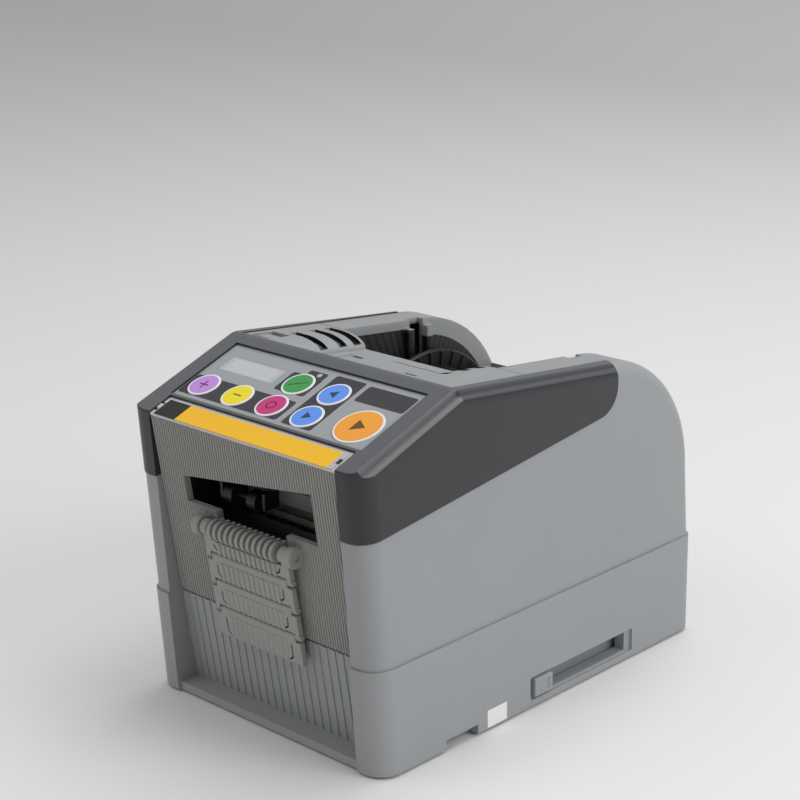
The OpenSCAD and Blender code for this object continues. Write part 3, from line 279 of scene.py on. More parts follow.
def form():
    """All sizes, with the places that follow from them."""
    wing_gap, bay_gap, comb_gap = 0.2, 0.3, 1
    scene = bpy.context.scene
    groups = [getattr(scene, name) for name in GROUPS if name != "dispenser_colours"]
    f = SimpleNamespace(**{key: value for group in groups for key, value in in_mm(group).items()})
    f.half = f.width / 2
    f.lip_z = f.height - f.panel_len * math.sin(f.tilt)
    f.tip = f.rear - f.reach
    f.crown = f.tip + f.panel_len * math.cos(f.tilt)
    f.lean_k = f.lip_lean / f.lip_z
    f.arc_y = f.rear - f.back_draft - f.back_r
    fall = f.arc_y + f.back_r * math.sin(f.top_fall) - f.crown
    f.arc_z = f.height - fall * math.tan(f.top_fall) - f.back_r * math.cos(f.top_fall)
    f.upper_inset = f.seam_step
    f.head_inset = f.seam_step - f.head_step
    f.cavity_inset = f.seam_step + f.wall
    f.floor_z = f.ground_gap + f.wall
    f.slot_low = f.floor_z + SLOT_RISE
    f.slot_top = f.slot_low + f.slot_h
    f.wing_x = f.half - f.edge_r - wing_gap
    f.overlay_top = -f.head_inset - f.rim_h
    f.overlay_low = f.overlay_top - f.overlay_t
    f.panel = Matrix.Translation((0, f.tip, f.lip_z)) @ Matrix.Rotation(f.tilt, 4, "X")
    f.plate = Matrix.Translation((0, f.tip + f.plate_in, f.lip_z)) @ Matrix.Rotation(f.plate_ang, 4, "X")
    f.top = Matrix.Translation((0, f.crown, f.height)) @ Matrix.Rotation(-f.top_fall, 4, "X")
    f.deck_v0 = f.deck_run / math.cos(f.top_fall)
    f.deck_v1 = f.deck_end / math.cos(f.top_fall)
    f.crest_x = f.wing_x - f.wall_top
    f.deck_top = -f.upper_inset - f.deck_drop
    f.bay_y1 = f.arc_y + f.tub_r * math.cos(f.tub_end) + bay_gap
    f.rim_z = f.arc_z + f.tub_r * math.sin(f.tub_end)
    lean = Matrix.Rotation(f.plate_ang, 4, "X")
    links = range(1, len(LINK_RIB_H) + 1)
    hinges = [Vector(JOINTS[f"guard_fold_{k}"]["pos_m"]) / MM for k in links]
    f.hinges = [Matrix.Translation((0, place.y, place.z)) @ lean for place in hinges]
    f.comb_pitch = (2 * f.notch_half - comb_gap) / f.comb_fins
    f.knuckle_r = f.link_t / 2
    f.link_gap = f.knuckle_r + f.rib_h + SIDE_FIT
    return f


def front_y(f, z):
    """Place of the front pillars' face at a height."""
    return f.tip + f.lip_lean - f.lean_k * z


def plate_y(f, z):
    """Place of the front plate's face at a height."""
    return f.tip + f.plate_in + (f.lip_z - z) * math.tan(f.plate_ang)


# Outlines


def fillet(before, corner, after, radius, steps):
    """Points of an arc that rounds a corner of an outline."""
    corner = Vector(corner)
    a = (Vector(before) - corner).normalized()
    b = (Vector(after) - corner).normalized()
    half = a.angle(b) / 2
    middle = corner + (a + b).normalized() * (radius / math.sin(half))
    start = corner + a * (radius / math.tan(half)) - middle
    end = corner + b * (radius / math.tan(half)) - middle
    turn = start.angle_signed(end)
    return [middle + Matrix.Rotation(-turn * k / steps, 2) @ start for k in range(steps + 1)]


def arc(middle, radius, start, end, steps):
    """Points along an arc, by angle."""
    return [
        Vector((middle[0] + radius * math.cos(a), middle[1] + radius * math.sin(a)))
        for a in (start + (end - start) * k / steps for k in range(steps + 1))
    ]


def side_profile(f, inset, front):
    """Outline of the case from the side: the panel, top and back are inset, the pillars' face by front."""
    least_lip_r, least_crown_r = 0.4, 1
    c, s = math.cos(f.tilt), math.sin(f.tilt)
    run = (inset * (f.lean_k * c - s) + front) / (c + f.lean_k * s)
    lip = (f.tip + inset * s + run * c, f.lip_z - inset * c + run * s)
    slope, top = Vector((-s, c)), Vector((math.sin(f.top_fall), math.cos(f.top_fall)))
    crown = Vector((f.crown, f.height)) - inset * (slope + top) / (1 + slope.dot(top))
    low = -OVER
    foot = (front_y(f, low) + front, low)
    back = arc((f.arc_y, f.arc_z), f.back_r - inset, math.pi / 2 - f.top_fall, 0, steps=30)
    return [
        Vector(foot),
        *fillet(foot, lip, crown, max(f.lip_r - inset, least_lip_r), steps=5),
        *fillet(lip, crown, back[0], max(f.crown_r - inset, least_crown_r), steps=6),
        *back,
        Vector((f.rear - inset, f.seam_h)),
        Vector((f.rear - inset, low)),
    ]


def head_profile(f):
    """Outline of the head cover's region from the side."""

    def edge(y):
        return f.head_z + (y - f.tip) * math.tan(f.head_rise)

    end = f.tip + f.head_len
    cy = end - f.head_end_r
    cz = edge(cy) + f.head_end_r / math.cos(f.head_rise)
    start, top = f.tip - OVER, f.height + OVER
    curve = arc((cy, cz), f.head_end_r, f.head_rise - math.pi / 2, 0, steps=14)
    return [Vector((start, edge(start))), *curve, Vector((end, top)), Vector((start, top))]


# Solids


def weld(bm):
    """Merges points that lie on one another."""
    bmesh.ops.remove_doubles(bm, verts=bm.verts, dist=SAME_POINT)


def flatten(bm):
    """Joins faces that lie in one plane."""
    bmesh.ops.dissolve_limit(bm, angle_limit=FLAT_ANGLE, verts=bm.verts, edges=bm.edges)


class Solid:
    """A closed mesh, in millimetres, that can be cut, joined and kept within others."""

    def __init__(self, mesh):
        self.obj = bpy.data.objects.new("solid", mesh)
        bpy.context.scene.collection.objects.link(self.obj)

    def bake(self):
        """Turns the modifiers' result into the plain mesh."""
        graph = bpy.context.evaluated_depsgraph_get()
        old, self.obj.data = self.obj.data, bpy.data.meshes.new_from_object(self.obj.evaluated_get(graph))
        self.obj.modifiers.clear()
        bpy.data.meshes.remove(old)
        return self

    def must_be_closed(self, operation):
        """Raises if the mesh is open, since a Boolean modifier would then be skipped."""
        bm = bmesh.new()
        bm.from_mesh(self.obj.data)
        loose = sum(not e.is_manifold for e in bm.edges)
        bm.free()
        if loose:
            raise RuntimeError(f"{loose} open edges before {operation.lower()}")

    def combine(self, operation, others):
        """One Boolean modifier for each of the others, which are then removed."""
        for solid in (self, *others):
            solid.must_be_closed(operation)
        for other in others:
            modifier = self.obj.modifiers.new(operation, "BOOLEAN")
            modifier.operation = operation
            modifier.solver = "MANIFOLD"
            modifier.object = other.obj
        self.bake()
        for other in others:
            bpy.data.objects.remove(other.obj)
        if not self.obj.data.polygons:
            raise RuntimeError(f"nothing is left after {operation.lower()}")
        return self

    def cut(self, *others):
        return self.combine("DIFFERENCE", others)

    def join(self, *others):
        return self.combine("UNION", others)

    def keep(self, *others):
        return self.combine("INTERSECT", others)

    def edit(self, change):
        """Runs a change on the mesh as a bmesh."""
        bm = bmesh.new()
        bm.from_mesh(self.obj.data)
        change(bm)
        bm.to_mesh(self.obj.data)
        bm.free()
        return self

    def soften(self, width, picked=None, segments=3):
        """Rounds the sharp edges, or with picked only those whose two ends satisfy that test."""
        sharp = math.radians(25)

        def chosen(edge):
            if not edge.is_manifold or edge.calc_face_angle(0) <= sharp:
                return False
            return picked is None or all(picked(vert.co) for vert in edge.verts)

        def change(bm):
            weld(bm)
            flatten(bm)
            bmesh.ops.bevel(
                bm,
                geom=[edge for edge in bm.edges if chosen(edge)],
                offset=width,
                segments=segments,
                profile=0.5,
                affect="EDGES",
                clamp_overlap=True,
            )

        return self.edit(change)


def solid_from(bm, matrix=None):
    """A Solid from a bmesh, set in its place."""
    if matrix is not None:
        bm.transform(matrix)
    bmesh.ops.recalc_face_normals(bm, faces=bm.faces)
    mesh = bpy.data.meshes.new("solid")
    bm.to_mesh(mesh)
    bm.free()
    return Solid(mesh)


def loft(rings, matrix=None):
    """A closed mesh through rings of equally many points."""
    bm = bmesh.new()
    rows = [[bm.verts.new(point) for point in ring] for ring in rings]
    count = len(rows[0])
    for row, after in zip(rows, rows[1:]):
        for k in range(count):
            bm.faces.new((row[k], row[(k + 1) % count], after[(k + 1) % count], after[k]))
    bm.faces.new(rows[0])
    bm.faces.new(reversed(rows[-1]))
    return solid_from(bm, matrix)


def across(outline, x0, x1, matrix=None):
    """A prism across the machine from an outline in y and z."""
    return loft([[(x, y, z) for y, z in outline] for x in (x0, x1)], matrix)


def upright(outline, z0, z1, matrix=None):
    """A prism along Z from an outline in x and y."""
    return loft([[(x, y, z) for x, y in outline] for z in (z0, z1)], matrix)


def through(outline, y0, y1, matrix=None):
    """A prism along Y from an outline in x and z."""
    return loft([[(x, y, z) for x, z in outline] for y in (y0, y1)], matrix)


def slab(x, y, z, matrix=None):
    """A box between two limits each way."""
    return upright([(x[0], y[0]), (x[1], y[0]), (x[1], y[1]), (x[0], y[1])], z[0], z[1], matrix)


def lathe(profile, matrix=None, steps=48):
    """A turned solid from radius and height pairs, which run from axis to axis or round in a loop."""
    bm = bmesh.new()
    turn = [2 * math.pi * k / steps for k in range(steps)]
    rings = []
    for radius, height in profile:
        places = [(radius * math.cos(a), radius * math.sin(a)) for a in turn] if radius else [(0, 0)]
        rings.append([bm.verts.new((x, y, height)) for x, y in places])
    for ring, after in zip(rings, rings[1:]):
        for k in range(steps):
            corners = [ring[k % len(ring)], ring[(k + 1) % len(ring)]]
            corners += [after[(k + 1) % len(after)], after[k % len(after)]]
            bm.faces.new(list(dict.fromkeys(corners)))
    return solid_from(bm, matrix)


def plug(radius, z0, z1, matrix):
    """A plain round bar along Z, for a hole."""
    return lathe([(0, z0), (radius, z0), (radius, z1), (0, z1)], matrix)


def rod(radius, x0, x1, matrix, edge=0.25):
    """A round bar along X with softened ends."""
    ends = [(radius - edge, x0), (radius, x0 + edge), (radius, x1 - edge), (radius - edge, x1)]
    return lathe([(0, x0), *ends, (0, x1)], matrix @ Matrix.Rotation(math.pi / 2, 4, "Y"), steps=36)


def brick(x, y, z, edge, matrix=None):
    """A box with rounded edges."""
    made = slab(x, y, z).soften(edge)
    if matrix is not None:
        made.obj.data.transform(matrix)
    return made


def bar(width, height):
    """Outline of a rib that stands out towards -Y, with its foot inside the surface."""
    half, soft, foot = width / 2, min(width, height) / 3, 0.3
    right = [(half - soft, -height), (half, soft - height), (half, foot)]
    return [(-x, y) for x, y in reversed(right)] + right


def copies_tree():
    """The node tree that repeats a solid in a row, each copy turned a little further about X."""
    tree = bpy.data.node_groups.get("copies")
    if tree:
        return tree
    tree = bpy.data.node_groups.new("copies", "GeometryNodeTree")
    kinds = {"Source": "Object", "Count": "Int", "Start": "Vector", "Step": "Vector"}
    kinds |= {"Turn": "Float", "Finish": "Material"}
    for name, kind in kinds.items():
        tree.interface.new_socket(name, in_out="INPUT", socket_type=f"NodeSocket{kind}")
    tree.interface.new_socket("Geometry", in_out="OUTPUT", socket_type="NodeSocketGeometry")

    def add(kind, links=(), **settings):
        node = tree.nodes.new(kind)
        for key, value in settings.items():
            setattr(node, key, value)
        for key, socket in dict(links).items():
            tree.links.new(socket, node.inputs[key])
        return node.outputs

    given = add("NodeGroupInput")
    source = add("GeometryNodeObjectInfo", {"Object": given["Source"]})
    places = {"Count": given["Count"], "Start Location": given["Start"], "Offset": given["Step"]}
    line = add("GeometryNodeMeshLine", places, mode="OFFSET")
    index = add("GeometryNodeInputIndex")
    turn = add("ShaderNodeMath", {0: index[0], 1: given["Turn"]}, operation="MULTIPLY")
    spin = add("FunctionNodeEulerToRotation", {0: add("ShaderNodeCombineXYZ", {"X": turn[0]})[0]})
    row = {"Points": line["Mesh"], "Instance": source["Geometry"], "Rotation": spin[0]}
    real = add("GeometryNodeRealizeInstances", {"Geometry": add("GeometryNodeInstanceOnPoints", row)[0]})
    done = add("GeometryNodeSetMaterial", {"Geometry": real[0], "Material": given["Finish"]})
    add("NodeGroupOutput", {"Geometry": done[0]})
    return tree


def copies(source, count, step=(0, 0, 0), start=None, turn=0.0, slot="case_plastic"):
    """A row of copies of a solid, centred unless it is given a start."""
    if start is None:
        start = [-(count - 1) / 2 * c for c in step]
    tree = copies_tree()
    host = Solid(bpy.data.meshes.new("copies"))
    modifier = host.obj.modifiers.new("copies", "NODES")
    modifier.node_group = tree
    values = {
        "Source": source.obj,
        "Count": count,
        "Start": [float(c) for c in start],
        "Step": [float(c) for c in step],
        "Turn": turn,
        "Finish": finish(slot),
    }
    for socket in tree.interface.items_tree:
        if socket.in_out == "INPUT":
            modifier[socket.identifier] = values[socket.name]
    host.bake()
    bpy.data.objects.remove(source.obj)
    return host


def case_body(f, inset, beads=0.0):
    """The whole case as one solid, inset all round: rounded top edges and rounded front pillars.

    With beads, two ridges run along the rounded edges, stay within the flanks and fade out towards the back.
    """
    crests, dip, dip_share, spread = (66, 21), 43, 0.7, 9
    fade_end, fade_len = f.crown + 90, 70
    # Points held within the flank lean in by this much a degree, so that no two rings share a place
    lean = 0.004
    radius, half = f.edge_r - inset, f.half - inset
    plan_x, plan_r = f.half - f.pillar_r, f.pillar_r - inset
    steps = 36 if beads else 10

    def ring(x, down):
        back = plan_r - math.sqrt(max(plan_r**2 - max(x - plan_x, 0) ** 2, 0))
        return [Vector((x, y, z)) for y, z in side_profile(f, down, inset + back)]

    def swell(degrees, middle):
        return math.exp(-(((degrees - middle) / spread) ** 2))

    def ridge(degrees):
        return beads * (sum(swell(degrees, crest) for crest in crests) - dip_share * swell(degrees, dip))

    rings = [ring(plan_x, inset), ring((plan_x + half - radius) / 2, inset)]
    for k in range(steps + 1):
        a = math.pi / 2 * (1 - k / steps)
        points = ring(half - radius * (1 - math.cos(a)), inset + radius * (1 - math.sin(a)))
        if beads:
            tall = radius + ridge(math.degrees(a))
            within = half - lean * math.degrees(a)
            bent = ring(min(half - radius + tall * math.cos(a), within), inset + radius - tall * math.sin(a))
            fade = [min(max((fade_end - p.y) / fade_len, 0), 1) for p in points]
            points = [p.lerp(q, w) for p, q, w in zip(points, bent, fade)]
        rings.append(points)
    mirrored = [[(-x, y, z) for x, y, z in points] for points in reversed(rings)]
    return loft(mirrored + rings)


def layer(f, low, high):
    """A slab wider and longer than the machine, between two levels."""
    return slab((-f.width, f.width), (f.tip - OVER, f.rear + OVER), (low, high))


def head_zone(f):
    """Region of the head cover: the whole front, and wings along the wall tops."""
    zone = across(head_profile(f), -f.half - OVER, f.half + OVER)
    middle = slab((-f.wing_x, f.wing_x), (f.deck_v0, f.reach), (-f.height, OVER * 2), f.top)
    return zone.cut(middle)


def front_gap(f, deep):
    """The space between the front pillars."""
    return slab((-f.cheek_x, f.cheek_x), (-OVER * 2, deep), (-f.height - OVER, OVER), f.plate)


def cheeks(f):
    """The pillars' inner walls."""
    reach, levels = (-OVER * 2, f.cheek_deep), (-f.height - OVER, OVER)
    return [slab(span(side, f.cheek_x, f.cheek_x + f.wall), reach, levels, f.plate) for side in SIDES]


def on_panel(f, node):
    """Frame of a round node on the panel, its radius, and its lowest and highest level."""
    low, high = node_box(node)
    radius = (high.x - low.x) / 2
    middle = f.panel.inverted() @ node_middle(node)
    tall = (high.z - low.z - 2 * radius * math.sin(f.tilt)) / math.cos(f.tilt)
    place = f.panel @ Matrix.Translation((middle.x, middle.y, 0))
    return place, radius, middle.z - tall / 2, middle.z + tall / 2


def corner_places(node, inset):
    """Frames of a node's four like solids, whose middles lie that far inside its box."""
    low, high = node_box(node)
    xs, ys = (low.x + inset, high.x - inset), (low.y + inset, high.y - inset)
    return [Matrix.Translation((x, y, 0)) for x in xs for y in ys]


# Finishes


def math_node(operation, swapped=False):
    """A method of Wire that adds a Math node to its tree."""

    def method(self, *others):
        values = (*others, self) if swapped else (self, *others)
        return self.node("ShaderNodeMath", {"operation": operation}, dict(enumerate(values)))

    return method


class Wire:
    """A socket in a material's tree. Sums, products and comparisons of wires add Math nodes."""

    def __init__(self, tree, socket):
        self.tree = tree
        self.socket = socket

    def node(self, kind, settings=(), sockets=(), out=0):
        """Adds a node: its settings first, then the values or wires of its sockets."""
        made = self.tree.nodes.new(kind)
        for key, value in dict(settings).items():
            setattr(made, key, value)
        for key, value in dict(sockets).items():
            if isinstance(value, Wire):
                self.tree.links.new(value.socket, made.inputs[key])
            else:
                made.inputs[key].default_value = value
        return Wire(self.tree, made.outputs[out])

    __add__ = __radd__ = math_node("ADD")
    __sub__ = math_node("SUBTRACT")
    __rsub__ = math_node("SUBTRACT", swapped=True)
    __mul__ = __rmul__ = math_node("MULTIPLY")
    __abs__ = math_node("ABSOLUTE")
    __lt__ = math_node("LESS_THAN")
    __gt__ = math_node("GREATER_THAN")
    most = math_node("MAXIMUM")
    least = math_node("MINIMUM")
    root = math_node("SQRT")
    fraction = math_node("FRACT")
    bearing = math_node("ARCTAN2")

    def mix(self, factor, first, second, blend="MIX"):
        """Two colours mixed, through the Mix node's sockets for colours."""
        settings = {"data_type": "RGBA", "blend_type": blend}
        return self.node("ShaderNodeMix", settings, {0: factor, 6: first, 7: second}, 2)

    def mixed(self, first, second):
        """A colour between two others, by this wire."""
        return self.mix(self, first, second)

    def xyz(self):
        """The three numbers of a vector wire."""
        parts = self.node("ShaderNodeSeparateXYZ", sockets={0: self})
        return [Wire(self.tree, s) for s in parts.socket.node.outputs]

    def millimetres(self):
        """The three numbers of a place, in millimetres."""
        return [wire * (1 / MM) for wire in self.xyz()]

    def noise(self, size, detail=2.0):
        """Noise whose grains are about that many millimetres across."""
        sockets = {"Vector": self, "Scale": 1 / (size * MM), "Detail": detail}
        return self.node("ShaderNodeTexNoise", sockets=sockets)


def shade(colour, factor=1):
    """A linear colour, made darker or lighter by a factor, as a colour socket takes it."""
    return (*(min(c * factor, 1) for c in colour), 1)


def blank(name):
    """A new material: itself, its shader and its object coordinates."""
    made = bpy.data.materials.new(f"{name}_look")
    made.use_nodes = True
    tree = made.node_tree
    shader = tree.nodes["Principled BSDF"]
    coords = Wire(tree, tree.nodes.new("ShaderNodeTexCoord").outputs["Object"])
    return made, shader, coords


def put(wire, shader, name):
    """Links a wire to one of the shader's sockets."""
    wire.tree.links.new(wire.socket, shader.inputs[name])


def rounded_normal(coords, edge):
    """A normal that rounds the edges by a small radius, and a mask of those edges."""
    soft = coords.node("ShaderNodeBevel", {"samples": 4}, {"Radius": edge * MM})
    plain = coords.node("ShaderNodeNewGeometry", out="Normal")
    same = coords.node("ShaderNodeVectorMath", {"operation": "DOT_PRODUCT"}, {0: soft, 1: plain}, "Value")
    return soft, 1 - same


def relief(shader, height, normal, depth, strength):
    """Gives the shader a normal with fine relief, so many millimetres deep."""
    sockets = {"Strength": strength, "Distance": depth * MM, "Height": height, "Normal": normal}
    put(height.node("ShaderNodeBump", sockets=sockets), shader, "Normal")


def moulded(name, colour, roughness=0.45, grain=0.35, depth=0.012, edge=0.35, edge_wear_and_highlight=0.25, change=None):
    """Moulded plastic: spark-eroded grain, faint clouds of colour, and rounded edges whose colour is lightened,
    partly as wear and partly as a painted highlight.

    With change, change(coords, normal) gives a mask and the colour that takes over under it.
    """
    cloud_size, cloud_share, grain_share = 38, 0.7, 0.3
    dark, light, wear_and_highlight_tone, most_edge_lightening = 0.93, 1.07, 1.6, 0.3
    cloud_rough, grain_rough = 0.06, 0.16
    made, shader, coords = blank(name)
    clouds, fine = coords.noise(cloud_size), coords.noise(grain, detail=3)
    soft, edges = rounded_normal(coords, edge)
    mottled = (clouds * cloud_share + fine * grain_share).mixed(shade(colour, dark), shade(colour, light))
    # Lighter edges: partly wear, partly a painted highlight along the edges
    base = (edges * edge_wear_and_highlight).least(most_edge_lightening).mixed(mottled, shade(colour, wear_and_highlight_tone))
    if change:
        mask, other = change(coords, soft)
        base = mask.mixed(base, shade(other))
    put(base, shader, "Base Color")
    least_rough = roughness - (cloud_rough + grain_rough) / 2
    put(fine * grain_rough + clouds * cloud_rough + least_rough, shader, "Roughness")
    relief(shader, fine, soft, depth, strength=0.5)
    return made


def metal(name, colour, roughness=0.3, stretch=(1, 1, 1)):
    """Sheet or turned metal with fine drawn lines."""
    line_size, line_share, line_rough = 0.6, 0.6, 0.2
    cloud_size, cloud_share = 14, 0.4
    dark, light, edge, depth = 0.82, 1.12, 0.2, 0.01
    made, shader, coords = blank(name)
    drawn = coords.node("ShaderNodeMapping", sockets={"Vector": coords, "Scale": stretch})
    lines, clouds = drawn.noise(line_size, detail=3), coords.noise(cloud_size)
    mottled = lines * line_share + clouds * cloud_share
    put(mottled.mixed(shade(colour, dark), shade(colour, light)), shader, "Base Color")
    put(lines * line_rough + (roughness - line_rough / 2), shader, "Roughness")
    shader.inputs["Metallic"].default_value = 1
    soft, _ = rounded_normal(coords, edge)
    relief(shader, lines, soft, depth, strength=0.3)
    return made


def palette():
    """The colours of the scene's property group."""
    return bpy.context.scene.dispenser_colours


def painted_top_sheen(coords, normal):
    """Faces that look up are painted paler than the rest, a painted sheen that stands in for the light on the
    glossy head.
    """
    start, gain = 0.45, 2.2
    return ((normal.xyz()[2] - start) * gain).most(0).least(1), palette().head_top


def painted_vent_shade(coords, normal):
    """The inner faces of the deck's vents are painted black, painted shade for the depth of the slots."""
    f = form()
    slack, off_floor = 0.05, 1
    x, y, z = coords.millimetres()
    along = (y - f.crown) * math.cos(f.top_fall) - (z - f.height) * math.sin(f.top_fall)
    inside = reduce(Wire.most, [abs(along - v) < f.vent_w / 2 + slack for v in VENTS])
    flanks = (abs(x) > f.deck_half + off_floor) * (x < f.crest_x - RIGHT_VENT_IN)
    return inside * flanks * (x > -f.crest_x - LEFT_VENT_OUT), palette().black


def dark_inside(coords, normal):
    """The walls and the floor of the bay are black inside a pale rim; on the left wall, radial ribs are painted a
    little lighter as a painted highlight.
    """
    f = form()
    rim, ribs, rib_share, rib_highlight = 5.0, 90, 0.5, 0.05
    off_wall, in_wall = 1, 0.3
    x, y, z = coords.millimetres()
    below = z - (f.height - rim) + (y - f.crown) * math.tan(f.top_fall) < 0
    dy, dz = y - f.arc_y, z - f.arc_z
    away = (dy * dy + dz * dz).root()
    within = (away < f.tub_r - rim).most(dy < 0).most(dz < 0)
    turn = dz.bearing(dy) * (ribs / (2 * math.pi))
    rib = (turn.fraction() < rib_share) * (x < off_wall - f.crest_x)
    # Ribs are drawn as slightly lighter bands, a painted highlight
    return below * within * (abs(x) < f.crest_x + in_wall) * (rib * -rib_highlight + 1), palette().black


def pale_strip(coords, normal):
    """The lower part of the finger plate is grey, its lugs and the rest are black."""
    strip_h, strip_t, grey = 8.5, 1.4, linear(0.42, 0.42, 0.43)
    low, high = node_box("blade_guard")
    _, y, z = coords.millimetres()
    return (z < low.z + strip_h) * (y > high.y - strip_t), grey


def panel_place(coords):
    """Place on the key panel in millimetres: across, and up the slope."""
    f = form()
    x, y, z = coords.millimetres()
    return x, (y - f.tip) * math.cos(f.tilt) + (z - f.lip_z) * math.sin(f.tilt)


def patch(u, v, us, vs, radius):
    """1 inside a rounded rectangle, 0 outside it."""

    def beyond(wire, low, high):
        return (abs(wire - (low + high) / 2) - ((high - low) / 2 - radius)).most(0)

    a, b = beyond(u, *us), beyond(v, *vs)
    return a * a + b * b < radius**2


def film(name, colour, roughness):
    """A printed film: colour(u, v) gives its print by the place on the panel."""
    grain, grain_rough, dark, edge, depth = 0.3, 0.12, 0.94, 0.12, 0.006
    white = (1, 1, 1)
    made, shader, coords = blank(name)
    fine = coords.noise(grain, detail=3)
    soft, _ = rounded_normal(coords, edge)
    printed = colour(*panel_place(coords))
    grey = fine.mixed(shade(white, dark), shade(white))
    put(printed.mix(1.0, printed, grey, "MULTIPLY"), shader, "Base Color")
    put(fine * grain_rough + (roughness - grain_rough / 2), shader, "Roughness")
    relief(shader, fine, soft, depth, strength=0.35)
    return made


def overlay_film(name):
    """The keypad overlay: pale, with dark rounded patches behind the keys."""
    # Limits across and up the slope, and corner radius
    patches = [
        ((-55.3, 4.6), (17.2, 30.3), 1.6),
        ((-13.7, 3.9), (34.0, 46.9), 1.6),
        ((-6.9, 3.6), (40.0, 50.4), 1.2),
        ((7.6, 24.5), (16.9, 51.3), 1.2),
        ((26.9, 53.6), (39.9, 50.4), 1.4),
    ]

    def colour(u, v):
        ink = reduce(Wire.most, [patch(u, v, *limits) for limits in patches])
        return ink.mixed(shade(palette().overlay), shade(palette().ink))

    return film(name, colour, roughness=0.42)


def window_film(name):
    """The display window: pale, with the ghost of five seven-bar digits."""
    pitch, half_w, half_h, thick, slant = 5.2, 1.5, 2.9, 0.42, 0.1
    digits = ((-46.4, -20.4), (37.2, 45), 0.2)
    field = ((-47.6, -19.2), (36.9, 45.4), 0.6)
    middle_v, frame_tone, ghost_tone, ghost = 41.1, 0.9, 1.18, 0.6

    def colour(u, v):
        place, dv = (u - digits[0][0]) * (1 / pitch), v - middle_v
        du = (place.fraction() - 0.5) * pitch - dv * slant
        flat = (abs(dv) < thick).most(abs(abs(dv) - half_h) < thick) * (abs(du) < half_w)
        tall = (abs(abs(du) - half_w) < thick) * (abs(dv) < half_h + thick)
        shown = flat.most(tall) * patch(u, v, *digits)
        window = palette().window
        base = patch(u, v, *field).mixed(shade(window, frame_tone), shade(window))
        return (shown * ghost).mixed(base, shade(window, ghost_tone))

    return film(name, colour, roughness=0.3)


def label_film(name):
    """The bare label: yellow, with a dark block at its left end and a pale clip at its right, where a slot is
    painted as a dark patch of painted shade.
    """
    end = node_box("label_strip")[1].x
    block_end, clip, slot, painted_slot_v, painted_slot_half = -39.2, 3.2, 1.6, 6, 1.5
    pale, dark = linear(0.74, 0.74, 0.73), linear(0.13, 0.12, 0.11)

    def colour(u, v):
        # The dark patch near the right end is painted shade for the clip's slot
        ink = (u < block_end).most((u > end - slot) * (abs(v - painted_slot_v) < painted_slot_half))
        paper = (u > end - clip).mixed(shade(palette().label), shade(pale))
        return ink.mixed(paper, shade(dark))

    return film(name, colour, roughness=0.4)


def key_film(name):
    """A key's cap: its colour, a white ring round it and a plain mark in the middle."""
    f, key = form(), name.split("_")[1]
    low, high = node_box(f"button_{key}")
    middle = f.panel.inverted() @ node_middle(f"button_{key}")
    white, ring_w, mark_tone = (0.86, 0.85, 0.88), 1.0, 0.16
    inner_r = (high.x - low.x) / 2 - KEY_STEP - ring_w
    plus_arm, minus_arm, thin = 2.5, 2.3, 0.42
    circle_out, circle_in = 2.5, 1.8
    slash, slash_half, slash_rise, slash_run = 4.4, 0.3, 0.5, 0.87
    arrow_slope, arrow, start_arrow = 0.6, (2.4, 1.6), (3.6, 2.4)
    colour_of_key = getattr(palette(), key)

    def stroke(along, beside, reach):
        return (abs(along) < reach) * (abs(beside) < thin)

    def pointer(along, beside, tip, back):
        return (abs(beside) < (tip - along) * arrow_slope) * (along > -back)

    def colour(u, v):
        du, dv = u - middle.x, v - middle.y
        away = (du * du + dv * dv).root()
        marks = {
            "plus": lambda: stroke(du, dv, plus_arm).most(stroke(dv, du, plus_arm)),
            "minus": lambda: stroke(du, dv, minus_arm),
            "select": lambda: (away < circle_out) * (away > circle_in),
            "mode": lambda: (abs(du * slash_rise - dv * slash_run) < slash_half) * (away < slash),
            "reverse": lambda: pointer(du * -1, dv, *arrow),
            "forward": lambda: pointer(du, dv, *arrow),
            "start": lambda: pointer(du, dv, *start_arrow),
        }
        cap = (away < inner_r).mixed(shade(white), shade(colour_of_key))
        return marks[key]().mixed(cap, shade(colour_of_key, mark_tone))

    return film(name, colour, roughness=0.4)


